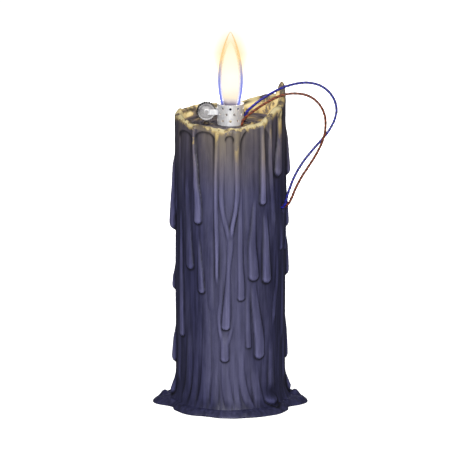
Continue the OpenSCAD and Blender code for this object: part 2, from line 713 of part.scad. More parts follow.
module cell(k) {
    nub_h = 1.2;
    color([0.75, 0.55, 0.2]) rotate([0, 0, cell_angles[k]])
    translate([cell_ring_r, 0, cell_z]) {
        cylinder(r = cell_r, h = cell_l - nub_h);
        cylinder(r = cell_r / 3, h = cell_l);
    }
}

module cell_1() cell(0);
module cell_2() cell(1);
module cell_3() cell(2);

door_z = base_z + (base_t - door_t) / 2;
door_top_z = door_z + door_t;
door_contact_t = 0.35;

module contact_springs() {
    color([0.75, 0.75, 0.75]) on_ring(cell_ring_r, cell_angles)
        translate([0, 0, door_top_z + door_contact_t])
            coil(3, 0.4, cell_z - door_top_z - door_contact_t - swing_gap,
                turns = 3, steps = 12, sides = 6);
}

module door_contacts() {
    color([0.85, 0.85, 0.8]) on_ring(cell_ring_r, cell_angles)
        translate([0, 0, door_top_z]) cylinder(r = contact_pad_r, h = door_contact_t);
}

// ---- underside
door_r = tray_r - 1.4;
opening_r = door_r + swing_gap;
hinge_y = door_r + 1.6;
hinge_z = door_z + door_t / 2;
knuckle_r = door_t / 2 + 0.2;
knuckle_half = 5;
hinge_half = 11;
notch_y = hinge_y + knuckle_r + swing_gap;
tab_y = door_r - 3;
switch_body_l = 14;
switch_body_d = 7;
switch_body_h = 5.5;
switch_y = -(opening_r + switch_body_d - 0.5);
knob_w = 4;
knob_d = 3.2;
knob_top_z = base_top_z + 1.5;
switch_slot_l = knob_w + switch_travel + 2 * swing_gap;
switch_slot_d = knob_d + 2 * swing_gap;
base_head_r = 2.7;
base_head_h = 1.2;
base_skin_t = 1.1;     // what is left of the plate over a screw's head
finger_notch_r = 3;

module hinge_bar(r, half) {
    translate([0, hinge_y, hinge_z]) rotate([0, 90, 0])
        cylinder(r = r, h = 2 * half, center = true);
}

module base_plate() {
    color([0.2, 0.2, 0.22]) difference() {
        translate([0, 0, base_z]) cylinder(r = base_r, h = base_t);
        translate([0, 0, base_z - cut]) {
            cylinder(r = opening_r, h = base_t + 2 * cut);
            translate([-knuckle_half - swing_gap, tab_y, 0])
                cube([2 * (knuckle_half + swing_gap), notch_y - tab_y, base_t + 2 * cut]);
            translate([-switch_slot_l / 2, switch_y - switch_slot_d / 2, 0])
                cube([switch_slot_l, switch_slot_d, base_t + 2 * cut]);
            on_ring(base_screw_ring, base_screw_angles)
                cylinder(r = screw_r + running_gap, h = base_t + 2 * cut);
            on_ring(base_screw_ring, base_screw_angles)
                cylinder(r = base_head_r + 2 * seat_gap, h = cut + base_t - base_skin_t);
            translate([0, -opening_r, 0]) cylinder(r = finger_notch_r, h = base_t + 2 * cut);
        }
        hinge_bar(hinge_pin_r + press_gap, hinge_half);
    }
}

module base_screws() {
    color([0.6, 0.6, 0.62]) on_ring(base_screw_ring, base_screw_angles)
        translate([0, 0, base_top_z - base_skin_t])
            screw(screw_r, boss_h - cut, base_head_r, base_head_h);
}

module battery_door() {
    color([0.26, 0.26, 0.28]) difference() {
        union() {
            translate([0, 0, door_z]) cylinder(r = door_r, h = door_t);
            translate([-knuckle_half, tab_y, door_z])
                cube([2 * knuckle_half, hinge_y - tab_y, door_t]);
            hinge_bar(knuckle_r, knuckle_half);
        }
        hinge_bar(hinge_pin_r + running_gap, hinge_half);
    }
}

module door_hinge_pin() {
    color([0.7, 0.7, 0.72]) hinge_bar(hinge_pin_r, hinge_half - 0.1);
}

module switch_body() {
    color([0.3, 0.3, 0.32]) difference() {
        translate([-switch_body_l / 2, switch_y - switch_body_d / 2, base_top_z])
            cube([switch_body_l, switch_body_d, switch_body_h]);
        translate([-switch_slot_l / 2, switch_y - switch_slot_d / 2, base_top_z - cut])
            cube([switch_slot_l, switch_slot_d, knob_top_z - base_top_z + cut + 0.5]);
    }
}

module switch_slider() {
    bottom_z = base_z - 0.5;
    groove_w = 0.4;
    color([0.85, 0.85, 0.85])
        translate([-(switch_travel + knob_w) / 2, switch_y - knob_d / 2, bottom_z]) difference() {
            cube([knob_w, knob_d, knob_top_z - bottom_z]);
            for (k = [1, 2, 3]) translate([(k * knob_w - groove_w * 2) / 4, -cut, -cut])
                cube([groove_w, knob_d + 2 * cut, cut + 0.3]);
        }
}

module rubber_feet() {
    color([0.1, 0.1, 0.1]) on_ring(base_r - foot_pad_r - 1.8, [45, 135, 225, 315])
        cylinder(r = foot_pad_r, h = foot_pad_h);
}

wax_body();
wax_floor();
inner_can();
burner_plate();
burner_screws();
chimney();
wheel_cheeks();
wheel_pin();
striker_wheel();
flint_tube();
flint();
flint_spring();
flint_screw();
lamp_socket();
lamp_cap();
socket_contact();
terminal_screws();
led_emitter();
flame_core();
flame_shell();
lead_blue();
lead_brown();
inner_leads_blue();
inner_leads_brown();
lead_grommet();
driver_board();
board_parts();
board_spacers();
battery_tray();
top_contacts();
cell_1();
cell_2();
cell_3();
contact_springs();
door_contacts();
base_plate();
base_screws();
battery_door();
door_hinge_pin();
switch_body();
switch_slider();
rubber_feet();
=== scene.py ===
"""Electric trick candle: a dripping wax pillar with a flint lighter top, a flame lamp and two leads.

Lengths of the candle's pieces, of the flame's colours and of the painted halo round the flame are in
millimetres until a mesh or a node is made. The studio, the other finishes, the frame and all meshes are in
metres. Angles are in degrees, counted from +X towards +Y.
"""
import json
import logging
import math
from dataclasses import dataclass
from enum import Enum

import bpy
import numpy as np
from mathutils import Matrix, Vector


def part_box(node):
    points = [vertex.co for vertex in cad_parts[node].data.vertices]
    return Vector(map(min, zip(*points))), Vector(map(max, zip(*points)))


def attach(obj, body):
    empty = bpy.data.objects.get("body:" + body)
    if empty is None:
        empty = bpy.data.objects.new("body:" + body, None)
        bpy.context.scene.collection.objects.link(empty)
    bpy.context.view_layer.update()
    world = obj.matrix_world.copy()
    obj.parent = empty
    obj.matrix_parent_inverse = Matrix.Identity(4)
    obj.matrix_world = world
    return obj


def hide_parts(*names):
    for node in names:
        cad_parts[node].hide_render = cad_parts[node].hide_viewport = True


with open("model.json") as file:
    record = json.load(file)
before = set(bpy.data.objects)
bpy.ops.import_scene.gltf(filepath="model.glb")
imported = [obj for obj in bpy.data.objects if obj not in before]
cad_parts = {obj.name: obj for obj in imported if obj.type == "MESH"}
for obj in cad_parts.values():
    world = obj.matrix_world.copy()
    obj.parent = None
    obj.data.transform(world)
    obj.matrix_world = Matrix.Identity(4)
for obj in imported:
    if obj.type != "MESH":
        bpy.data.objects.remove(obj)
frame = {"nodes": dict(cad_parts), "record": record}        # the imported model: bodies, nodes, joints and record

MM = 0.001
POLE_R = 0.02           # the radius that a turned piece keeps where its outline meets the axis
NOISE_ROWS = 600        # rows in a table of random numbers
NOISE_GROUND_ROW = 40   # the row at height 0, so that heights under it have numbers too
log = logging.getLogger("candle")
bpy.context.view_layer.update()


class Body(Enum):
    """The bodies of the mechanism that pieces ride on."""

    CANDLE = "candle"
    STRIKER = "striker"


class FlowEnd(Enum):
    """How a run of wax ends at its lower end."""

    BULB = "bulb"
    FADE = "fade"


# ---------------------------------------------------------------------------
# shape helpers: all work on whole arrays
# ---------------------------------------------------------------------------


def hump(u: np.ndarray) -> np.ndarray:
    """A raised cosine: 1 at 0, level and 0 at -1 and 1 and beyond."""
    return np.where(np.abs(u) < 1, 0.5 + 0.5 * np.cos(np.pi * np.clip(u, -1, 1)), 0.0)


def step_up(u: np.ndarray) -> np.ndarray:
    """A smooth step from 0 at 0 to 1 at 1, three u squared less two u cubed."""
    v = np.clip(u, 0, 1)
    return v * v * (3 - 2 * v)


def turned(angle: np.ndarray) -> np.ndarray:
    """An angle in degrees brought between -180 and 180."""
    return (angle + 540) % 360 - 180


def smooth_line(x: np.ndarray, xs: list[float], ys: list[float]) -> np.ndarray:
    """A smooth curve through points, by cubic pieces whose slopes are those of their neighbours' chords.

    Args:
        x: where the curve is wanted; outside the points it keeps its end values.
        xs: rising places of the points.
        ys: values at the points.

    Returns:
        The curve's value at each x.
    """
    knots = np.asarray(xs, float)
    values = np.asarray(ys, float)
    slopes = np.gradient(values, knots)
    k = np.clip(np.searchsorted(knots, x) - 1, 0, len(knots) - 2)
    span = knots[k + 1] - knots[k]
    t = np.clip((x - knots[k]) / span, 0, 1)
    rise = t * t * (3 - 2 * t)
    return (values[k] * (1 - rise) + values[k + 1] * rise
            + slopes[k] * span * t * (1 - t) ** 2 - slopes[k + 1] * span * t * t * (1 - t))


@dataclass(frozen=True)
class Waves:
    """Smooth random waves on the pillar that close up round it, between -size and size.

    A table of random numbers, one every 360 / around degrees and every pitch upwards, joined by smooth
    steps. The seed says which table.
    """

    size: float
    seed: int
    around: int
    pitch: float = 10.0

    def at(self, angle: np.ndarray, z: np.ndarray) -> np.ndarray:
        """The waves at some places.

        Args:
            angle: their angles in degrees.
            z: their heights in millimetres.

        Returns:
            A value for each.
        """
        table = np.random.default_rng(self.seed).uniform(-1, 1, (NOISE_ROWS, self.around))
        across = (angle % 360) / 360 * self.around
        up = z / self.pitch + NOISE_GROUND_ROW
        i, j = np.floor(across).astype(int), np.floor(up).astype(int)
        s, t = step_up(across - i), step_up(up - j)
        i0, i1, j0, j1 = i % self.around, (i + 1) % self.around, j % NOISE_ROWS, (j + 1) % NOISE_ROWS
        low = table[j0, i0] * (1 - s) + table[j0, i1] * s
        high = table[j1, i0] * (1 - s) + table[j1, i1] * s
        return self.size * (low * (1 - t) + high * t)


def softened(field: np.ndarray, rounds_up: int, rounds_across: int) -> np.ndarray:
    """A grid of values averaged with its neighbours again and again; columns wrap, rows don't.

    Args:
        field: rows by columns.
        rounds_up: how often neighbours in a column are averaged.
        rounds_across: how often neighbours in a row are averaged.

    Returns:
        The softened grid.
    """
    soft = field.copy()
    for _ in range(rounds_across):
        soft = 0.5 * soft + 0.25 * (np.roll(soft, 1, 1) + np.roll(soft, -1, 1))
    for _ in range(rounds_up):
        padded = np.pad(soft, ((1, 1), (0, 0)), mode="edge")
        soft = 0.5 * soft + 0.25 * (padded[:-2] + padded[2:])
    return soft


def on_circle(radius: np.ndarray, angle: np.ndarray, z: np.ndarray) -> np.ndarray:
    """Points from radius, angle in degrees and height: radius times cosine and sine, and the height."""
    a = np.radians(angle)
    return np.stack([radius * np.cos(a), radius * np.sin(a), z + 0 * radius], axis=-1)


def grid_faces(rows: int, cols: int, wrap_rows: bool = False) -> np.ndarray:
    """Quads between neighbouring points of a grid whose columns wrap, and whose rows wrap on demand."""
    i, j = np.meshgrid(np.arange(rows if wrap_rows else rows - 1), np.arange(cols), indexing="ij")
    up, across = (i + 1) % rows, (j + 1) % cols
    quads = np.stack([i * cols + j, i * cols + across, up * cols + across, up * cols + j], axis=-1)
    return quads.reshape(-1, 4)


def grid_piece(name: str, grid: np.ndarray, wrap_rows: bool = False,
               marks: dict[str, np.ndarray] | None = None) -> bpy.types.Object:
    """A closed, smooth mesh from a grid of points in millimetres, with its faces outwards.

    A grid whose rows don't wrap is closed by one cap of triangles at each end, round the end row's middle.
    The faces are turned round if the volume inside them, the sum of the corner products of the triangles
    over six, comes out negative.

    Args:
        name: the piece's name.
        grid: rows by columns by three.
        wrap_rows: whether the last row joins the first.
        marks: named values for each grid point, kept in the mesh for its finish.

    Returns:
        The new object, at the origin.
    """
    rows, cols = grid.shape[:2]
    points = grid.reshape(-1, 3) * MM
    quads = grid_faces(rows, cols, wrap_rows)
    tris = np.empty((0, 3), int)
    if not wrap_rows:
        ends = np.stack([grid[0].mean(0), grid[-1].mean(0)]) * MM
        j = np.arange(cols)
        across = (j + 1) % cols
        first = np.stack([np.full(cols, rows * cols), across, j], axis=-1)
        base = (rows - 1) * cols
        last = np.stack([np.full(cols, rows * cols + 1), base + j, base + across], axis=-1)
        tris = np.concatenate([first, last])
        points = np.concatenate([points, ends])
    corners = np.concatenate([quads[:, [0, 1, 2]], quads[:, [0, 2, 3]], tris])
    a, b, c = (points[corners[:, k]] for k in range(3))
    if np.einsum("ij,ij->i", a, np.cross(b, c)).sum() < 0:
        quads, tris = quads[:, ::-1], tris[:, ::-1]
    mesh = bpy.data.meshes.new(name)
    mesh.from_pydata(points.tolist(), [], quads.tolist() + tris.tolist())
    mesh.polygons.foreach_set("use_smooth", np.ones(len(mesh.polygons), bool))
    for mark, values in (marks or {}).items():
        flat = np.zeros(len(points), np.float32)
        flat[:rows * cols] = values.reshape(-1)
        mesh.attributes.new(mark, "FLOAT", "POINT").data.foreach_set("value", flat)
    mesh.update()
    piece = bpy.data.objects.new(name, mesh)
    bpy.context.scene.collection.objects.link(piece)
    return piece


def lathe_piece(name: str, profile: np.ndarray, cols: int) -> bpy.types.Object:
    """A piece turned round the Z axis from a profile of (radius, height) points.

    Args:
        name: the piece's name.
        profile: points by two, from one end on or near the axis to the other.
        cols: how many columns go round.

    Returns:
        The closed piece.
    """
    angle = np.arange(cols) * 360 / cols
    return grid_piece(name, on_circle(profile[:, :1] + 0 * angle, angle, profile[:, 1:]))


# ---------------------------------------------------------------------------
# finishes
# ---------------------------------------------------------------------------


def linear(shade: str) -> tuple[float, float, float, float]:
    """A colour's linear values from its six hexadecimal digits, by the sRGB curve."""
    parts = [int(shade[k:k + 2], 16) / 255 for k in (0, 2, 4)]
    return (*[p / 12.92 if p <= 0.04045 else ((p + 0.055) / 1.055) ** 2.4 for p in parts], 1.0)


class Palette:
    """A material's node tree, with short methods that add and join its nodes."""

    def __init__(self, name: str) -> None:
        """Starts a material of that name with a Principled shader and Object coordinates.

        Args:
            name: the material's name.
        """
        self.material = bpy.data.materials.new(name)
        self.material.use_nodes = True
        self.tree = self.material.node_tree
        self.tree.nodes.clear()
        self.output = self.tree.nodes.new("ShaderNodeOutputMaterial")
        self.shader = self.tree.nodes.new("ShaderNodeBsdfPrincipled")
        self.join(self.shader.outputs[0], self.output.inputs["Surface"])
        self.place = self.tree.nodes.new("ShaderNodeTexCoord").outputs["Object"]

    def join(self, source: bpy.types.NodeSocket, target: bpy.types.NodeSocket) -> None:
        """Links one socket to another."""
        self.tree.links.new(source, target)

    def node(self, kind: str, **settings: object) -> bpy.types.Node:
        """Adds a node and sets its properties.

        Args:
            kind: the node's type.
            settings: its properties by name.

        Returns:
            The node.
        """
        made = self.tree.nodes.new(kind)
        for key, value in settings.items():
            setattr(made, key, value)
        return made

    def stretched(self, scale: tuple[float, float, float]) -> bpy.types.NodeSocket:
        """Object coordinates times a scale on each axis.

        Args:
            scale: the three factors.

        Returns:
            The scaled coordinates.
        """
        mapping = self.node("ShaderNodeMapping")
        mapping.inputs["Scale"].default_value = scale
        self.join(self.place, mapping.inputs["Vector"])
        return mapping.outputs["Vector"]

    def noise(self, scale: float, stretch: tuple[float, float, float] = (1, 1, 1), detail: float = 3,
              rough: float = 0.5) -> bpy.types.NodeSocket:
        """Noise on the piece's own coordinates.

        Args:
            scale: waves a metre, roughly.
            stretch: factors on each axis; a small one makes long streaks along it.
            detail: octaves.
            rough: how strong the finer octaves are.

        Returns:
            The noise's value, about 0.2 to 0.8.
        """
        made = self.node("ShaderNodeTexNoise")
        made.inputs["Scale"].default_value = scale
        made.inputs["Detail"].default_value = detail
        made.inputs["Roughness"].default_value = rough
        self.join(self.stretched(stretch), made.inputs["Vector"])
        return made.outputs["Fac"]

    def mark(self, name: str) -> bpy.types.NodeSocket:
        """A value that the mesh carries for each point."""
        return self.node("ShaderNodeAttribute", attribute_name=name).outputs["Fac"]

    def range(self, value: bpy.types.NodeSocket, low: float, high: float, to_low: float = 0,
              to_high: float = 1) -> bpy.types.NodeSocket:
        """A value brought smoothly from one range to another and held at its ends.

        Args:
            value: the value.
            low: the value that becomes to_low.
            high: the value that becomes to_high.
            to_low: the new low end.
            to_high: the new high end.

        Returns:
            The new value.
        """
        made = self.node("ShaderNodeMapRange", interpolation_type="SMOOTHSTEP")
        for socket, number in (("From Min", low), ("From Max", high), ("To Min", to_low),
                               ("To Max", to_high)):
            made.inputs[socket].default_value = number
        self.join(value, made.inputs["Value"])
        return made.outputs["Result"]

    def sum(self, operation: str, first: bpy.types.NodeSocket,
            second: bpy.types.NodeSocket | float) -> bpy.types.NodeSocket:
        """Two values put together by a named operation.

        Args:
            operation: the Math node's operation.
            first: the first value.
            second: the second value, a socket or a number.

        Returns:
            The result.
        """
        made = self.node("ShaderNodeMath", operation=operation)
        self.join(first, made.inputs[0])
        if isinstance(second, (int, float)):
            made.inputs[1].default_value = second
        else:
            self.join(second, made.inputs[1])
        return made.outputs["Value"]

    def ramp(self, value: bpy.types.NodeSocket, *stops: tuple[float, str]) -> bpy.types.NodeSocket:
        """Colours along a value.

        Args:
            value: the value, 0 to 1.
            stops: pairs of place and colour.

        Returns:
            The colour.
        """
        made = self.node("ShaderNodeValToRGB")
        bands = made.color_ramp.elements
        while len(bands) < len(stops):
            bands.new(0.5)
        for band, (at, shade) in zip(bands, stops):
            band.position = at
            band.color = linear(shade)
        self.join(value, made.inputs["Fac"])
        return made.outputs["Color"]

    def mix(self, share: bpy.types.NodeSocket | float, first: bpy.types.NodeSocket | str,
            second: bpy.types.NodeSocket | str, blend: str = "MIX") -> bpy.types.NodeSocket:
        """Two colours mixed.

        Args:
            share: how much of the second.
            first: the first colour, a socket or its digits.
            second: the second colour.
            blend: the Mix node's blend type.

        Returns:
            The mixed colour.
        """
        made = self.node("ShaderNodeMix", data_type="RGBA", blend_type=blend)
        if isinstance(share, (int, float)):
            made.inputs[0].default_value = share
        else:
            self.join(share, made.inputs[0])
        for socket, colour in ((made.inputs[6], first), (made.inputs[7], second)):
            if isinstance(colour, str):
                socket.default_value = linear(colour)
            else:
                self.join(colour, socket)
        return made.outputs[2]

    def bump(self, height: bpy.types.NodeSocket, strength: float, distance: float) -> None:
        """Gives the shader a bumped normal.

        Args:
            height: the bump's height, 0 to 1.
            strength: how strong it is.
            distance: its height in metres.
        """
        made = self.node("ShaderNodeBump")
        made.inputs["Strength"].default_value = strength
        made.inputs["Distance"].default_value = distance
        self.join(height, made.inputs["Height"])
        self.join(made.outputs["Normal"], self.shader.inputs["Normal"])

    def set(self, **values: float | tuple) -> None:
        """Sets the shader's own sockets.

        Args:
            values: the sockets' values, with underscores for the spaces in their names.
        """
        for key, value in values.items():
            self.shader.inputs[key.replace("_", " ")].default_value = value

    def colour(self, colour: bpy.types.NodeSocket) -> None:
        """Joins a colour to the shader."""
        self.join(colour, self.shader.inputs["Base Color"])

    def roughness(self, value: bpy.types.NodeSocket) -> None:
        """Joins a roughness to the shader."""
        self.join(value, self.shader.inputs["Roughness"])


@dataclass(frozen=True)
class WaxFinish:
    """Dark violet candle wax, paler in bands round the pillar, browner towards the rim, with painted flame light.

    Reads four marks of the mesh: relief (0 in a crease, 1 on a ridge; painted shade in the creases and
    painted highlight on the crests), pale (paler bands, of which the front one is painted light from the
    front, with painted highlight on raised runs, darker towards the bottom), glow (painted flame light,
    yellow at the rim's edge) and shade (painted shadow lines under bulbs and arches, on the rim and in the
    well). Each of the three bands of wax has its colours from the crease to the crest, dark as painted
    shade to light as painted highlight.
    """

    name: str
    deep: tuple[str, ...] = ("11111c", "2c2c48", "3f3f63", "565681")
    # the paler band where the pale mark is high: paler wax, and painted light from the front
    worn_and_lit: tuple[str, ...] = ("252535", "4b4a68", "5c5b7c", "75739a")
    upper: tuple[str, ...] = ("3e3938", "736960", "877b67", "9b8b6e")
    warm: tuple[str, ...] = ("81725f", "c7ad73", "e3d4a3")
    # colour of the painted shadow lines that the shade mark draws
    line: str = "15141c"
    upper_low: float = 0.146
    upper_high: float = 0.197

    def band(self, p: Palette, relief: bpy.types.NodeSocket,
             shades: tuple[str, ...]) -> bpy.types.NodeSocket:
        """Colours of one band of wax, from the crease over the slope and the shoulder to the crest: dark in the
        crease as painted shade, light on the crest as painted highlight.
        """
        return p.ramp(relief, *zip((0.0, 0.45, 0.75, 1.0), shades))

    def make(self) -> bpy.types.Material:
        """Builds the material.

        Returns:
            The material.
        """
        p = Palette(self.name)
        streaks = p.noise(420, (1, 1, 0.07), 4, 0.6)
        # relief: painted shade in the creases and painted highlight on the crests, with random streaks
        relief = p.sum("ADD", p.mark("relief"), p.range(streaks, 0.25, 0.75, -0.17, 0.17))
        blotches = p.range(p.noise(75, (1, 1, 0.35), 4, 0.6), 0.3, 0.7, -0.22, 0.22)
        pale = p.sum("ADD", p.mark("pale"), blotches)
        deep, worn_and_lit, upper = (self.band(p, relief, shades) for shades in (self.deep, self.worn_and_lit, self.upper))
        wax = p.mix(p.range(pale, 0.0, 1.0), deep, worn_and_lit)
        height = p.node("ShaderNodeSeparateXYZ")
        p.join(p.place, height.inputs[0])
        rise = p.range(height.outputs[2], self.upper_low, self.upper_high)
        browning = p.sum("MULTIPLY", rise, p.range(pale, 0.0, 0.9, 0.3, 1.0))
        wax = p.mix(browning, wax, upper)
        # painted flame light: the glow mark, broken into patches and mixed towards yellow
        lit_patches = p.range(p.noise(120, (1, 1, 0.8), 6, 0.68), 0.41, 0.53, 0.12, 1.0)
        glow = p.sum("MULTIPLY", p.mark("glow"), lit_patches)
        warm = p.ramp(glow, *zip((0.15, 0.5, 0.9), self.warm))
        wax = p.mix(p.range(glow, 0.12, 0.6), wax, warm)
        p.colour(p.mix(p.mark("shade"), wax, self.line))
        p.roughness(p.range(p.noise(900, (1, 1, 0.3), 2), 0.3, 0.7, 0.42, 0.6))
        p.bump(p.noise(700, (1, 1, 0.18), 4, 0.6), 0.35, 0.0006)
        p.set(Coat_Weight=0.08, Coat_Roughness=0.35, Specular_IOR_Level=0.35)
        return p.material


@dataclass(frozen=True)
class MetalFinish:
    """Metal with brushing along one direction and slight stains.

    A mark of the mesh, 1 where it is black, darkens the wheel's teeth and paints shade between them and in
    the groove round its recess.
    """

    name: str
    light: str
    dark: str
    roughness: float = 0.32
    brushing: tuple[float, float, float] = (1, 1, 0.06)
    metallic: float = 1.0
    stain: float = 0.5
    # near black: the darkened teeth, and painted shade between them and in the wheel's groove
    dark_and_crevice_shade: str = "17161b"

    def make(self) -> bpy.types.Material:
        """Builds the material.

        Returns:
            The material.
        """
        p = Palette(self.name)
        lines = p.noise(2600, self.brushing, rough=0.7)
        stains = p.range(p.noise(240), 0.42, 0.75, 0, self.stain)
        steel = p.mix(stains, p.mix(p.range(lines, 0.3, 0.7, 0, 0.6), self.light, self.dark), self.dark)
        p.colour(p.mix(p.mark("dark_and_crevice_shade"), steel, self.dark_and_crevice_shade))
        p.roughness(p.range(lines, 0.25, 0.75, self.roughness - 0.08, self.roughness + 0.14))
        p.bump(lines, 0.18, 0.00012)
        p.set(Metallic=self.metallic)
        return p.material


@dataclass(frozen=True)
class MouldedFinish:
    """Moulded plastic, rubber, ceramic or lacquer: a fine grain, faint flow marks and an uneven gloss."""

    name: str
    light: str
    dark: str
    roughness: float = 0.5
    grain: float = 1400
    depth: float = 0.00008
    coat: float = 0.0

    def make(self) -> bpy.types.Material:
        """Builds the material.

        Returns:
            The material.
        """
        p = Palette(self.name)
        grain = p.noise(self.grain, detail=2)
        p.colour(p.mix(p.range(p.noise(160), 0.35, 0.7), self.light, self.dark))
        p.roughness(p.range(grain, 0.3, 0.7, self.roughness - 0.07, self.roughness + 0.09))
        p.bump(grain, 0.3, self.depth)
        p.set(Coat_Weight=self.coat)
        return p.material


@dataclass(frozen=True)
class BandedFinish:
    """A printed sleeve with bands along its height, as on a round cell or a circuit board.

    The bands repeat every 0.314 metres times pitch, because the wave node has 20 radians a metre.
    """

    name: str
    first: str
    second: str
    pitch: float
    roughness: float = 0.35
    scuffed: str = "8c8c90"

    def make(self) -> bpy.types.Material:
        """Builds the material.

        Returns:
            The material.
        """
        p = Palette(self.name)
        bands = p.node("ShaderNodeTexWave", bands_direction="Z")
        bands.inputs["Scale"].default_value = 1 / self.pitch
        p.join(p.place, bands.inputs["Vector"])
        scuffs = p.range(p.noise(900), 0.55, 0.75, 0, 0.4)
        sleeve = p.mix(p.range(bands.outputs["Fac"], 0.45, 0.55), self.first, self.second)
        p.colour(p.mix(scuffs, sleeve, self.scuffed))
        p.roughness(p.range(scuffs, 0, 0.4, self.roughness, self.roughness + 0.2))
        return p.material


@dataclass(frozen=True)
class LeadFinish:
    """Twisted, insulated wire: the mark strand is 1 on top of a strand and 0 in the groove between two, where
    the darker groove colour is painted shade.
    """

    name: str
    strand: str
    groove: str

    def make(self) -> bpy.types.Material:
        """Builds the material.

        Returns:
            The material.
        """
        p = Palette(self.name)
        worn_and_lit = p.range(p.noise(500), 0.4, 0.75, 0, 0.35)
        # the darker groove colour between the strands is painted shade
        twist = p.ramp(p.mark("strand"), (0.15, self.groove), (0.7, self.strand))
        p.colour(p.mix(worn_and_lit, twist, self.groove))
        p.roughness(p.range(p.noise(1500), 0.3, 0.7, 0.34, 0.5))
        p.bump(p.noise(2200), 0.15, 0.0001)
        return p.material


@dataclass(frozen=True)
class FlameFinish:
    """Glowing lamp body whose colour changes up its height.

    Colours are pairs of height in millimetres and digits. A glass one is a tinted clear shell: like any
    glass it shows its tint where it is seen edge on and lets through what lies behind its middle.
    """

    name: str
    colours: tuple[tuple[float, str], ...]
    strength: float
    glass: bool = False

    def make(self) -> bpy.types.Material:
        """Builds the material.

        Returns:
            The material.
        """
        p = Palette(self.name)
        height = p.node("ShaderNodeSeparateXYZ")
        p.join(p.place, height.inputs[0])
        low, high = self.colours[0][0], self.colours[-1][0]
        rise = p.node("ShaderNodeMapRange")
        rise.inputs["From Min"].default_value = low * MM
        rise.inputs["From Max"].default_value = high * MM
        wobble = p.range(p.noise(90, (1, 1, 0.5), 2), 0.3, 0.7, -0.0012, 0.0012)
        p.join(p.sum("ADD", height.outputs[2], wobble), rise.inputs["Value"])
        stops = [((z - low) / (high - low), shade) for z, shade in self.colours]
        p.join(p.ramp(rise.outputs["Result"], *stops), p.shader.inputs["Emission Color"])
        p.set(Base_Color=(0, 0, 0, 1), Emission_Strength=self.strength, Roughness=0.3,
              Specular_IOR_Level=0.0)
        if self.glass:
            edge = p.node("ShaderNodeLayerWeight").outputs["Facing"]
            p.join(p.range(edge, 0.22, 0.6, 0.04, 1.0), p.shader.inputs["Alpha"])
        return p.material


@dataclass(frozen=True)
class FloorFinish:
    """The pale studio floor, lit from within to stay white, and clear from underneath."""

    name: str = "studio_floor"
    glow: float = 0.97

    def make(self) -> bpy.types.Material:
        """Builds the material.

        Returns:
            The material.
        """
        p = Palette(self.name)
        p.colour(p.mix(p.range(p.noise(6), 0.3, 0.7), "ffffff", "fbfbfb"))
        p.set(Roughness=0.9, Specular_IOR_Level=0.0, Emission_Color=(1, 1, 1, 1),
              Emission_Strength=self.glow)
        clear, sided = p.node("ShaderNodeBsdfTransparent"), p.node("ShaderNodeMixShader")
        p.join(p.node("ShaderNodeNewGeometry").outputs["Backfacing"], sided.inputs[0])
        p.join(p.shader.outputs[0], sided.inputs[1])
        p.join(clear.outputs[0], sided.inputs[2])
        p.join(sided.outputs[0], p.output.inputs["Surface"])
        return p.material


@dataclass(frozen=True)
class PaintedHaloFinish:
    """Painted halo of the flame's light: a warm tint in the air round the flame, thinner away from its middle;
    studio air, not a piece.
    """

    name: str = "painted_flame_halo"
    middle: float = 231.0
    half_height: float = 29.0
    reach: float = 15.5
    density: float = 70.0
    tint: str = "ffe4a0"

    def make(self) -> bpy.types.Material:
        """Builds the material: absorption that falls evenly from the middle to an egg-shaped edge.

        Returns:
            The material.
        """
        p = Palette(self.name)
        p.tree.nodes.remove(p.shader)
        around = p.node("ShaderNodeMapping")
        around.inputs["Location"].default_value = (0, 0, -self.middle / self.half_height)
        around.inputs["Scale"].default_value = (
            1 / (self.reach * MM), 1 / (self.reach * MM), 1 / (self.half_height * MM))
        p.join(p.place, around.inputs["Vector"])
        away = p.node("ShaderNodeVectorMath", operation="LENGTH")
        p.join(around.outputs["Vector"], away.inputs[0])
        halo = p.node("ShaderNodeVolumeAbsorption")
        halo.inputs["Color"].default_value = linear(self.tint)
        p.join(p.range(away.outputs["Value"], 0.35, 1.0, self.density, 0.0), halo.inputs["Density"])
        p.join(halo.outputs[0], p.output.inputs["Volume"])
        return p.material


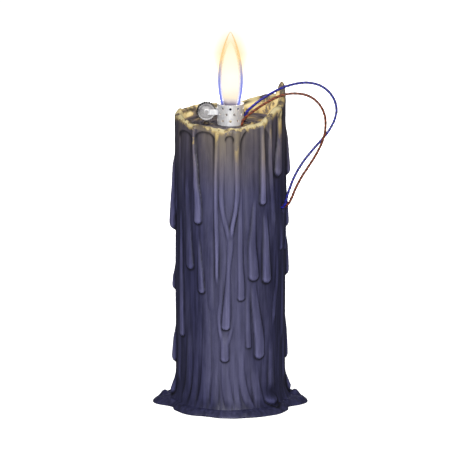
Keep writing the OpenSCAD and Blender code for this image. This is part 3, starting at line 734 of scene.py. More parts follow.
FINISHES = {
    "chimney_steel": MetalFinish("chimney_steel", "ffffff", "b4b6c0", 0.38, (1, 1, 0.08), 0.35, 0.5),
    "wheel_steel": MetalFinish("wheel_steel", "d6d4d4", "5c5a60", 0.4, (1, 0.2, 1), 0.3, 1.0),
    "bright_steel": MetalFinish("bright_steel", "dfe0e4", "9a9ba2", 0.28, (1, 0.1, 1), 0.85),
    "spring_steel": MetalFinish("spring_steel", "c8c8cc", "74757c", 0.3, (1, 1, 1), 1.0),
    "old_brass": MetalFinish("old_brass", "7d6c50", "39322a", 0.46, (1, 1, 0.2), 0.8, 0.9),
    "lamp_brass": MetalFinish("lamp_brass", "d8b266", "9a763a", 0.28, (1, 1, 0.2), 1.0),
    "flint": MouldedFinish("flint", "4a4a4e", "26262a", 0.7, 2400, 0.0001),
    "white_plastic": MouldedFinish("white_plastic", "dedee2", "cfcfd6", 0.45),
    "socket_ceramic": MouldedFinish("socket_ceramic", "efeadc", "dcd3bf", 0.3, 900, 0.00005, 0.5),
    "board_green": BandedFinish("board_green", "1c5a36", "174c2e", 0.9, 0.4),
    "black_plastic": MouldedFinish("black_plastic", "2a2a2e", "1c1c20", 0.5),
    "door_plastic": MouldedFinish("door_plastic", "38383e", "2a2a30", 0.52),
    "switch_grey": MouldedFinish("switch_grey", "b9bac0", "9c9da4", 0.45),
    "black_rubber": MouldedFinish("black_rubber", "1b1b1e", "101012", 0.75, 2000, 0.00012),
    "cell_wrap": BandedFinish("cell_wrap", "c88a2c", "24242a", 0.12),
    "emitter": MouldedFinish("emitter", "f6f2d8", "e6d890", 0.25, 900, 0.00004, 0.6),
    "blue_insulation": LeadFinish("blue_insulation", "1f1fa0", "0e0e50"),
    "brown_insulation": LeadFinish("brown_insulation", "8c4224", "48200f"),
    "wax": WaxFinish("wax"),
    "warm_wax": WaxFinish("warm_wax", upper=("262328", "534e55", "746a60", "a4916d")),
    "flame_shell": FlameFinish("flame_shell", (
        (196, "15151c"), (202.5, "24243a"), (205.5, "7a86ea"), (213, "8794f6"), (222, "98a4f2"),
        (229, "c6bfd6"), (236, "ffe2ae"), (253, "fbd8a2")), 1.0, True),
    "flame_core": FlameFinish("flame_core", (
        (195, "16151a"), (202.5, "2c2a32"), (205, "8d8490"), (207, "d9cdc6"), (209, "f6e8cc"),
        (216, "fffaf0"), (224, "ffffff"), (238, "fffdf6"), (247, "fff4de")), 1.16),
}


def dress(piece: bpy.types.Object, slot: str, materials: dict[str, bpy.types.Material]) -> None:
    """Gives a piece its slot's finish.

    Args:
        piece: a new piece or a CAD node's object.
        slot: the record's material slot.
        materials: finishes already made, by slot; a missing one is made and kept there.
    """
    if slot not in materials:
        materials[slot] = FINISHES[slot].make()
    if not piece.material_slots:
        piece.data.materials.append(materials[slot])
    for holder in piece.material_slots:
        holder.material = materials[slot]


def settle(piece: bpy.types.Object, slot: str, body: Body, materials: dict[str, bpy.types.Material],
           *nodes: str) -> None:
    """Dresses a new piece, lets it ride on its body and lets it stand for CAD nodes.

    Args:
        piece: the piece.
        slot: the record's material slot.
        body: the body that it moves with.
        materials: finishes by slot.
        nodes: the CAD nodes that it stands for.
    """
    dress(piece, slot, materials)
    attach(piece, body.value)
    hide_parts(*nodes)
    log.info("%s: %d faces, slot %s, on %s", piece.name, len(piece.data.polygons), slot, body.value)


# ---------------------------------------------------------------------------
# studio
# ---------------------------------------------------------------------------


@dataclass(frozen=True)
class Softbox:
    """A square soft light that faces the candle's middle; a matt one leaves no highlights."""

    name: str
    place: tuple[float, float, float]
    size: float
    watts: float
    matt: bool = True

    def hang(self, middle: tuple[float, float, float]) -> None:
        """Hangs the light and turns it to the middle.

        Its tilt is the angle between the line to the middle and the vertical.

        Args:
            middle: the point that it faces.
        """
        data = bpy.data.lights.new(self.name, "AREA")
        data.size = self.size
        data.energy = self.watts
        lamp = bpy.data.objects.new(self.name, data)
        lamp.visible_glossy = not self.matt
        lamp.location = self.place
        x, y, z = (p - q for p, q in zip(self.place, middle))
        lamp.rotation_euler = (math.atan2(math.hypot(x, y), z), 0, math.atan2(y, x) + math.pi / 2)
        bpy.context.scene.collection.objects.link(lamp)


SOFTBOXES = (
    Softbox("front_softbox", (-0.05, -1.0, 0.5), 0.3, 10.2, matt=False),
    Softbox("left_fill", (-1.0, 0.35, 0.5), 0.5, 1.7),
    Softbox("right_fill", (1.0, 0.35, 0.5), 0.5, 1.7),
    Softbox("back_softbox", (0.1, 1.0, 0.5), 0.5, 6.5),
    Softbox("under_fill", (0.1, -0.4, -0.8), 0.5, 2.8))


@dataclass
class Studio:
    """Camera, floor, painted halo round the flame, sky and lights."""

    distance: float = 2.4
    raise_angle: float = 14.0
    aim: tuple[float, float, float] = (-0.0003, 0.0, 0.1183)
    focal: float = 281.0
    sensor: float = 36.0
    floor_size: float = 6.0
    lit_middle: tuple[float, float, float] = (0.0, 0.0, 0.11)
    sky_light: float = 0.08
    sky_white: float = 1.1
    halo_rows: int = 33
    halo_cols: int = 48

    def build_camera(self) -> None:
        """Sets a long-lens camera that looks down a little on the candle's front.

        Its place is the aim plus the distance along a line raised by raise_angle from the front.
        """
        lift = math.radians(self.raise_angle)
        data = bpy.data.cameras.new("studio_camera")
        data.lens = self.focal
        data.sensor_width = self.sensor
        camera = bpy.data.objects.new("studio_camera", data)
        x, y, z = self.aim
        camera.location = (x, y - self.distance * math.cos(lift), z + self.distance * math.sin(lift))
        camera.rotation_euler = (math.pi / 2 - lift, 0, 0)
        bpy.context.scene.collection.objects.link(camera)
        bpy.context.scene.camera = camera

    def build_painted_halo(self) -> None:
        """Hangs the painted halo round the flame: an egg whose radius is reach times the cosine up its height."""
        finish = PaintedHaloFinish()
        lift = np.linspace(-np.pi / 2, np.pi / 2, self.halo_rows)
        profile = np.stack([np.maximum(finish.reach * np.cos(lift), POLE_R),
                            finish.middle + finish.half_height * np.sin(lift)], axis=-1)
        halo = lathe_piece("painted_flame_halo", profile, self.halo_cols)
        halo.data.materials.append(finish.make())
        halo.visible_shadow = False

    def build_floor(self) -> None:
        """Lays the floor, a square that casts no shadow and adds no light to the candle."""
        half = self.floor_size / 2
        mesh = bpy.data.meshes.new("studio_floor")
        mesh.from_pydata([(-half, -half, 0), (half, -half, 0), (half, half, 0), (-half, half, 0)], [],
                         [(0, 1, 2, 3)])
        mesh.materials.append(FloorFinish().make())
        floor = bpy.data.objects.new("studio_floor", mesh)
        bpy.context.scene.collection.objects.link(floor)
        floor.visible_diffuse = False
        floor.visible_glossy = False
        floor.visible_shadow = False

    def build_sky(self) -> None:
        """Hangs a sky that is white to the camera and gives a faint light to all else."""
        world = bpy.data.worlds.new("studio_sky")
        world.use_nodes = True
        tree = world.node_tree
        sky = tree.nodes["Background"]
        sky.inputs["Color"].default_value = (1, 1, 1, 1)
        seen = tree.nodes.new("ShaderNodeLightPath").outputs["Is Camera Ray"]
        strength = tree.nodes.new("ShaderNodeMapRange")
        strength.inputs["To Min"].default_value = self.sky_light
        strength.inputs["To Max"].default_value = self.sky_white
        tree.links.new(seen, strength.inputs["Value"])
        tree.links.new(strength.outputs["Result"], sky.inputs["Strength"])
        bpy.context.scene.world = world

    def build(self) -> None:
        """Builds the floor, the painted halo round the flame, the sky and the lights."""
        self.build_floor()
        self.build_painted_halo()
        self.build_sky()
        bpy.context.scene.view_settings.view_transform = "Standard"
        for box in SOFTBOXES:
            box.hang(self.lit_middle)
        log.info("studio: camera at %.2f m, floor, haze, sky, %d softboxes", self.distance, len(SOFTBOXES))


# ---------------------------------------------------------------------------
# leads
# ---------------------------------------------------------------------------


@dataclass
class Lead:
    """One insulated lead, two strands twisted together, from the well's floor to the side hole."""

    name: str
    node: str
    slot: str
    route: list[tuple[float, float, float]]
    length: float
    diameter: float = 1.8
    strand_share: float = 0.1
    turns_per_mm: float = 0.16
    groove_power: float = 0.7
    sections: int = 420
    sides: int = 20

    def build(self, materials: dict[str, bpy.types.Material]) -> None:
        """The tube's radius at angle a and distance s is the lead's radius, less strand_share of it where
        the cosine of twice (a less the twist at s) is lowest. Its sections stand square to a smooth
        curve through the route's points, with one axis square to +Y.

        Args:
            materials: finishes by slot.
        """
        knots = np.array(self.route)
        along = np.concatenate([[0], np.cumsum(np.linalg.norm(np.diff(knots, axis=0), axis=1))])
        s = np.linspace(0, along[-1], self.sections)
        line = np.stack([smooth_line(s, along, knots[:, k]) for k in range(3)], axis=-1)
        ahead = np.gradient(line, axis=0)
        ahead /= np.linalg.norm(ahead, axis=1, keepdims=True)
        across = np.cross([0, 1, 0], ahead)
        across /= np.linalg.norm(across, axis=1, keepdims=True)
        up = np.cross(ahead, across)
        a = np.linspace(0, 2 * np.pi, self.sides, endpoint=False)
        strand = 0.5 + 0.5 * np.cos(2 * (a[None] - 2 * np.pi * self.turns_per_mm * s[:, None]))
        radius = self.diameter / 2 * (1 - self.strand_share * (1 - strand ** self.groove_power))
        ring = across[:, None] * np.cos(a)[None, :, None] + up[:, None] * np.sin(a)[None, :, None]
        grid = line[:, None] + radius[..., None] * ring
        piece = grid_piece(self.name, grid, marks={"strand": strand})
        settle(piece, self.slot, Body.CANDLE, materials, self.node)


LEADS = (
    Lead("blue_lead", "lead_blue", "blue_insulation", [
        (9, 6, 191.4), (9.4, 6, 195), (11.5, 5.7, 198.5), (15.1, 5.2, 202), (20.3, 4.5, 206.4),
        (27.3, 3.5, 211), (33.8, 2.5, 214.6), (39, 1.8, 216.6), (44.6, 0.8, 218.1), (50.4, 0, 218.8),
        (55.5, -0.8, 218.3), (60.6, -1.6, 216.5), (64.6, -2.4, 213.6), (67.8, -3.2, 209.6),
        (69.6, -4, 205.4), (70.2, -4.7, 201), (69.2, -5.5, 196), (67, -6.4, 191), (64, -7.2, 186.2),
        (60.6, -7.9, 182.2), (56.8, -8.7, 178), (52.8, -9.5, 173.4), (48.5, -10.5, 168),
        (44.8, -11.5, 162.4), (41.8, -12.5, 156.6), (39.4, -13.4, 150.6), (37.7, -14.1, 145.4),
        (36.8, -14.4, 141.4), (35.5, -14.1, 138.3), (34.1, -13.7, 137.3), (32.48, -13.1, 137)],
        length=160),
    Lead("brown_lead", "lead_brown", "brown_insulation", [
        (7.5, -7, 191.4), (8, -7, 194.2), (9.9, -7.1, 196.6), (12.7, -7.3, 199.2),
        (16.5, -7.6, 202.1), (20.3, -7.9, 204.8), (24.5, -8.2, 207.4), (29.1, -8.5, 210),
        (34.3, -8.9, 212.2), (39, -9.2, 213.2), (44, -9.5, 213.4), (49.4, -9.8, 212.6),
        (54.2, -10.1, 210.4), (58, -10.3, 207), (60.9, -10.5, 202.6), (62.5, -10.7, 197.6),
        (62.8, -10.8, 192.4), (62.4, -10.9, 187.4), (61.1, -11, 182.4), (58.7, -11.1, 176.6),
        (55.5, -11.2, 170.6), (52, -11.3, 165), (48.5, -11.5, 159.6), (45.3, -11.8, 154),
        (42.6, -12.1, 148.4), (40.6, -12.4, 143.4), (38.6, -12.3, 139.6), (36, -11.6, 137.5),
        (33.31, -10.84, 137)], length=141.4))


# ---------------------------------------------------------------------------
# wax
# ---------------------------------------------------------------------------


@dataclass(frozen=True)
class Flow:
    """A run of molten wax that has set on the pillar.

    Points are (angle, height, half width), from its top down. out is how far it stands out at its
    lower end; it starts thinner. A run whose first point lies over the rim comes out of the well.
    """

    points: tuple[tuple[float, float, float], ...]
    out: float
    end: FlowEnd = FlowEnd.BULB
    start_h: float = 12.0
    start_share: float = 0.4
    fade_h: float = 9.0
    # the painted shadow line under a bulb: how far out it lies, how wide it is, and the run height for its full
    # darkness
    line_reach: float = 1.12
    line_width: float = 0.6
    full_line_out: float = 1.6

    def relief(self, angle: np.ndarray, z: np.ndarray, radius: float) -> tuple[np.ndarray, np.ndarray]:
        """How far the run stands out, and the painted shadow line under its bulb.

        Across, the run is half an ellipse: the root of one less the squared distance from its middle
        over its half width. A bulb ends in the same way downwards, and its painted shadow line lies just outside.

        Args:
            angle: angles of the places.
            z: their heights.
            radius: the pillar's radius.

        Returns:
            The height of the run at each place, and the darkness of its painted shadow line.
        """
        tops = [p[1] for p in self.points][::-1]
        mid = smooth_line(z, tops, [p[0] for p in self.points][::-1])
        half = smooth_line(z, tops, [p[2] for p in self.points][::-1])
        low, high = tops[0], tops[-1]
        down = step_up((high - z) / (high - low))
        begin = step_up((high - z) / self.start_h + 0.02)
        across = np.radians(turned(angle - mid)) * radius / half
        height = self.out * (self.start_share + (1 - self.start_share) * down) * begin
        if self.end is FlowEnd.FADE:
            run = height * step_up((z - low) / self.fade_h) * np.sqrt(np.clip(1 - across ** 2, 0, 1))
            return run, np.zeros_like(run)
        below = np.clip((low + half - z) / half, 0, None)
        reach = np.sqrt(across ** 2 + below ** 2)
        run = height * np.clip(1 - reach ** 2, 0, 1) ** 0.5
        off_line = (reach - self.line_reach) * half / self.line_width
        line = np.exp(-off_line ** 2) * (reach > 1) * step_up(below * 1.4)
        return run, line * min(1.0, self.out / self.full_line_out) * (z < low + half)


@dataclass(frozen=True)
class Arch:
    """A shallow round-topped hollow under the rim, between two runs, with a painted shadow line along its edge.
    """

    angle: float
    half_width: float
    top: float
    crown: float
    left_leg: float
    right_leg: float
    depth: float = 0.8
    edge_width: float = 0.8
    line_width: float = 0.52
    hollow_h: float = 34.0
    overrun: float = 2.0

    def relief(self, angle: np.ndarray, z: np.ndarray, radius: float) -> tuple[np.ndarray, np.ndarray]:
        """How deep the hollow is, and how dark the painted shadow line along its edge.

        The edge is where the squared distance from the middle over the half width, plus above the
        springing the squared height over the crown, is one.

        Args:
            angle: angles of the places.
            z: their heights.
            radius: the pillar's radius.

        Returns:
            The depth at each place, and the darkness of the painted shadow line.
        """
        spring = self.top - self.crown
        across = np.radians(turned(angle - self.angle)) * radius / self.half_width
        rise = np.clip(z - spring, 0, None) / self.crown
        reach = np.sqrt(across ** 2 + rise ** 2)
        leg = np.where(across < 0, self.left_leg, self.right_leg)
        under_top = z < self.top + self.overrun
        fade = np.clip(1 - (spring - z) / np.maximum(leg, 0.1), 0, 1) * under_top
        inside = step_up((1 - reach) * self.half_width / self.edge_width)
        hollow = self.depth * inside * step_up((z - spring + self.hollow_h) / self.hollow_h) * under_top
        side = (reach - 1) * min(self.half_width, self.crown)
        line = np.exp(-(side / self.line_width) ** 2) * np.where(z > spring, leg > 0, fade)
        return hollow, line


SLOW_WAVES = Waves(0.45, 3, 15, 44)
FINE_WAVES = Waves(0.16, 4, 64, 38)
UPRIGHT_STREAKS = Waves(0.10, 6, 150, 26)
FOOT_WAVES = Waves(0.45, 11, 46)
CREST_WAVES = Waves(0.5, 21, 52)
RIM_WALL_WAVES = Waves(0.1, 5, 22)
RIM_LUMPS = Waves(0.55, 9, 60, 6)
RIM_SHADE_WAVES = Waves(0.4, 19, 30, 9)
WALL_FOLDS = Waves(0.55, 13, 56, 7)
WALL_STREAKS = Waves(0.28, 15, 90, 16)
WALL_SHADE_LINES = Waves(1.0, 17, 46, 24)
FLOOR_WANDER = Waves(2.2, 31, 9, 9)
FLOOR_LUMPS = Waves(0.35, 33, 26, 4)
FLOOR_LIGHT_PATCHES = Waves(0.9, 37, 12, 7)


@dataclass(frozen=True)
class Strip:
    """A strip of a wax surface: its points, and the marks that the wax finish reads on it.

    A mark is one number for the strip or a grid of them, and is held between 0 and 1 when it is joined.
    """

    points: np.ndarray
    relief: np.ndarray | float
    pale: np.ndarray | float
    glow: np.ndarray | float
    shade: np.ndarray | float


def wax_piece(name: str, strips: list[Strip], wrap_rows: bool = False) -> bpy.types.Object:
    """Joins strips of wax, each below the one before it in the grid, into one closed piece.

    Args:
        name: the piece's name.
        strips: the strips, all with as many columns.
        wrap_rows: whether the last strip joins the first.

    Returns:
        The piece, with its marks.
    """
    marks = {mark: np.concatenate([np.broadcast_to(np.clip(getattr(strip, mark), 0, 1),
                                                   strip.points.shape[:2]) for strip in strips])
             for mark in ("relief", "pale", "glow", "shade")}
    return grid_piece(name, np.concatenate([strip.points for strip in strips]), wrap_rows, marks)


FLOWS = (
    # left silhouette and left flank
    Flow(((-180, 173, 3.4), (-180, 149, 4.2), (-179, 131, 4.8), (-179, 119, 5.2)), 4.2),
    Flow(((-167, 176, 1.7), (-167, 155, 2.0), (-165, 130, 2.0)), 0.9, FlowEnd.FADE),
    Flow(((-142, 162, 1.9), (-140, 135, 2.6), (-138, 114, 3.2), (-136, 98, 3.6)), 1.5),
    Flow(((-154, 140, 1.3), (-151, 109, 2.0), (-150, 82, 2.5), (-150, 50, 2.9)), 1.8),
    Flow(((-158, 70, 2.4), (-158, 40, 3.0), (-160, 14, 3.4)), 1.0, FlowEnd.FADE),
    Flow(((-178, 98, 2.6), (-178, 86, 3.4), (-178, 78, 3.6)), 2.2),
    Flow(((-176, 56, 3), (-176, 42, 4), (-176, 28, 4.4)), 2.8),
    Flow(((-172, 24, 3), (-173, 14, 4), (-174, 6, 4.4)), 3.0),
    # runs of the front, from the left to the right
    Flow(((-130, 203, 1.4), (-130, 180, 1.1), (-128, 168, 1.6), (-127, 157, 2.1), (-125, 145, 2.6),
          (-125, 130, 2.9)), 2.3),
    Flow(((-125, 124, 1.0), (-123, 104, 1.7), (-122, 92, 2.3), (-121, 83, 2.6)), 1.7),
    Flow(((-103, 203, 2.7), (-104, 190, 1.5), (-105, 172, 1.2), (-105, 148, 1.5), (-104, 120, 1.5),
          (-104, 89, 1.1)), 1.5, FlowEnd.FADE),
    Flow(((-99, 188, 1.6), (-99, 162, 1.7), (-99, 145, 1.7), (-96, 134, 1.6), (-93, 126, 1.6),
          (-90, 117, 1.5)), 1.0, FlowEnd.FADE),
    Flow(((-84, 203, 3.4), (-84, 184, 2.0), (-83, 164, 1.9), (-83, 151, 1.8), (-85, 140, 1.6),
          (-88, 130, 1.5), (-90, 119, 1.5)), 1.7, FlowEnd.FADE),
    Flow(((-80, 158, 1.4), (-80, 127, 1.8), (-80, 105, 2.0), (-79, 90, 2.3), (-79, 79, 2.5)), 1.5),
    Flow(((-90, 128, 1.8), (-90, 118, 2.0), (-92, 100, 1.4), (-93, 85, 2.0), (-94, 71, 2.7),
          (-95, 59, 3.0)), 1.9),
    Flow(((-100, 98, 1.0), (-100, 79, 1.2), (-102, 67, 1.2), (-101, 59, 1.2), (-98, 48, 1.3)), 0.8,
         FlowEnd.FADE),
    Flow(((-88, 68, 1.0), (-89, 59, 1.1), (-92, 52, 1.3), (-95, 45, 1.3)), 0.8, FlowEnd.FADE),
    Flow(((-97, 60, 2.2), (-96, 48, 2.7), (-96, 37, 2.9)), 2.0),
    Flow(((-96, 40, 2.5), (-95, 24, 3.0), (-93, 14, 3.2), (-89, 3, 3.4)), 1.3, FlowEnd.FADE),
    Flow(((-110, 128, 1.6), (-111, 100, 2.2), (-110, 70, 2.4)), 0.6, FlowEnd.FADE),
    Flow(((-54, 208, 1.8), (-55, 191, 1.6), (-55, 174, 1.9), (-55, 157, 2.2), (-55, 143, 2.5)), 1.6),
    Flow(((-43, 212, 1.4), (-45, 190, 1.3), (-45, 169, 1.7), (-42, 149, 2.2), (-40, 124, 2.2)), 0.8,
         FlowEnd.FADE),
    Flow(((-27, 216, 3.2), (-30, 198, 2.8), (-30, 185, 3.2), (-32, 173, 3.9), (-33, 160, 4.4)), 2.6),
    Flow(((-70, 180, 2.4), (-70, 150, 3.0), (-71, 120, 2.6)), 0.5, FlowEnd.FADE),
    Flow(((-64, 150, 1.2), (-66, 130, 1.9), (-67, 116, 2.8), (-66, 105, 3.4), (-65, 92, 3.8)), 2.1),
    Flow(((-53, 141, 1.3), (-51, 119, 2.4), (-50, 103, 3.4), (-49, 89, 3.9)), 2.2),
    Flow(((-66, 93, 1.8), (-64, 78, 2.7), (-61, 63, 3.3), (-59, 49, 3.7), (-59, 38, 3.7)), 2.1),
    Flow(((-72, 84, 1.3), (-72, 62, 1.9), (-71, 46, 1.9)), 1.0),
    Flow(((-32, 112, 1.8), (-32, 92, 2.0), (-37, 76, 1.9), (-40, 58, 1.4)), 0.9, FlowEnd.FADE),
    Flow(((-25, 133, 1.5), (-25, 122, 1.6), (-26, 109, 1.6)), 0.9),
    Flow(((-12, 131, 1.3), (-12, 121, 1.4), (-14, 107, 1.4)), 0.9),
    Flow(((-20, 104, 1.6), (-20, 80, 2.2), (-22, 44, 2.4)), 0.9, FlowEnd.FADE),
    # foot of the front
    Flow(((-137, 60, 2.0), (-138, 35, 3.0), (-140, 18, 3.4), (-147, 3, 3.8)), 1.2, FlowEnd.FADE),
    Flow(((-116, 82, 2.0), (-115, 51, 3.2), (-116, 27, 3.6), (-120, 4, 4.2)), 1.2, FlowEnd.FADE),
    Flow(((-128, 44, 1.6), (-129, 24, 2.4), (-133, 4, 3.0)), 0.9, FlowEnd.FADE),
    Flow(((-106, 34, 1.6), (-106, 20, 2.4), (-107, 3, 3.0)), 0.9, FlowEnd.FADE),
    Flow(((-79, 46, 1.5), (-78, 26, 2.3), (-74, 13, 2.7), (-67, 2, 3.0)), 1.4, FlowEnd.FADE),
    Flow(((-85, 30, 1.3), (-84, 16, 1.8), (-81, 3, 2.4)), 0.8, FlowEnd.FADE),
    Flow(((-64, 38, 2.6), (-64, 25, 3.0), (-61, 14, 3.4), (-57, 3, 3.6)), 1.4, FlowEnd.FADE),
    Flow(((-43, 52, 2.2), (-43, 28, 3.0), (-42, 12, 3.6)), 1.2, FlowEnd.FADE),
    Flow(((-50, 16, 3.4), (-46, 11, 5.2), (-41, 4.5, 6.6)), 2.6),
    # right silhouette
    Flow(((4, 192, 2.6), (3, 180, 3.6), (2, 168, 4.4), (2, 156, 4.8)), 3.0),
    Flow(((-3, 150, 3.0), (-4, 134, 3.6), (-5, 122, 3.8)), 1.9),
    Flow(((4, 119, 3.2), (4, 100, 4.2), (4, 87, 4.6)), 2.7),
    Flow(((-2, 62, 3.0), (-1, 44, 3.8), (0, 30, 4.0)), 1.9),
    Flow(((-14, 76, 1.8), (-15, 50, 2.4), (-16, 14, 3.2)), 0.9, FlowEnd.FADE),
    Flow(((6, 24, 3.4), (6, 14, 4.6), (6, 5, 5.0)), 3.4),
    # right flank and back
    Flow(((14, 206, 2.2), (13, 178, 1.8), (14, 150, 2.6), (14, 128, 3.2)), 1.8),
    Flow(((24, 214, 3.0), (24, 188, 2.2), (23, 160, 3.2), (24, 137, 3.8)), 2.2),
    Flow(((33, 200, 1.8), (32, 160, 2.2), (34, 112, 2.2)), 0.8, FlowEnd.FADE),
    Flow(((40, 172, 2.0), (41, 130, 2.8), (39, 92, 3.4), (40, 57, 4.0)), 2.2),
    Flow(((50, 214, 2.6), (50, 190, 1.6), (49, 160, 1.9), (50, 122, 1.9)), 0.9, FlowEnd.FADE),
    Flow(((58, 210, 2.4), (58, 176, 2.2), (57, 140, 2.8), (58, 107, 3.6)), 2.0),
    Flow(((66, 132, 1.4), (67, 100, 2.2), (65, 72, 2.8)), 1.6),
    Flow(((75, 152, 1.8), (76, 112, 2.4), (74, 72, 3.2), (75, 37, 3.8)), 2.2),
    Flow(((84, 206, 2.8), (85, 188, 1.6), (84, 150, 2.0), (86, 112, 1.8)), 0.9, FlowEnd.FADE),
    Flow(((92, 208, 2.4), (93, 170, 2.0), (91, 130, 2.8), (92, 92, 3.6)), 2.1),
    Flow(((100, 118, 1.4), (101, 88, 2.2), (99, 54, 3.0)), 1.7),
    Flow(((108, 134, 1.8), (110, 96, 2.4), (107, 52, 3.2), (108, 18, 3.8)), 2.1),
    Flow(((116, 206, 2.4), (117, 184, 1.5), (116, 140, 1.9), (118, 98, 1.7)), 0.8, FlowEnd.FADE),
    Flow(((124, 208, 2.4), (125, 180, 2.0), (124, 150, 2.8), (124, 127, 3.4)), 1.9),
    Flow(((132, 140, 1.6), (133, 100, 2.2), (131, 74, 2.8)), 1.5),
    Flow(((141, 166, 1.8), (142, 128, 2.4), (140, 96, 3.2), (141, 67, 3.9)), 2.2),
    Flow(((150, 206, 2.2), (150, 186, 1.4), (151, 140, 1.9), (149, 92, 1.7)), 0.8, FlowEnd.FADE),
    Flow(((159, 206, 2.2), (160, 160, 2.0), (158, 100, 2.8), (159, 47, 3.6)), 1.9),
    Flow(((168, 150, 1.6), (169, 110, 2.2), (167, 60, 2.4)), 0.9, FlowEnd.FADE),
    Flow(((20, 84, 1.8), (22, 40, 2.8), (26, 3, 3.8)), 1.2, FlowEnd.FADE),
    Flow(((52, 62, 1.8), (54, 30, 2.8), (58, 3, 3.8)), 1.2, FlowEnd.FADE),
    Flow(((90, 60, 1.8), (92, 30, 2.8), (88, 3, 3.8)), 1.2, FlowEnd.FADE),
    Flow(((124, 72, 1.8), (123, 34, 2.8), (127, 3, 3.8)), 1.2, FlowEnd.FADE),
    Flow(((150, 56, 1.8), (150, 28, 2.8), (154, 3, 3.8)), 1.2, FlowEnd.FADE))

ARCHES = (
    Arch(-144, 6.4, 191.0, 3.6, 3, 26),
    Arch(-117.5, 6.8, 192.6, 4.6, 14, 24),
    Arch(-91, 2.6, 190.6, 2.4, 2, 3, 0.5),
    Arch(-62, 11.4, 197.0, 13, 14, 0, 0.8),
    Arch(-26, 4.2, 205.0, 5.5, 4, 10, 0.6),
    Arch(42, 6.0, 200.0, 6, 12, 20), Arch(71, 6.4, 198.0, 6, 20, 10), Arch(104, 5.6, 194.0, 5, 16, 16),
    Arch(137, 6.0, 193.0, 5, 20, 12), Arch(168, 5.0, 192.0, 4, 10, 14))


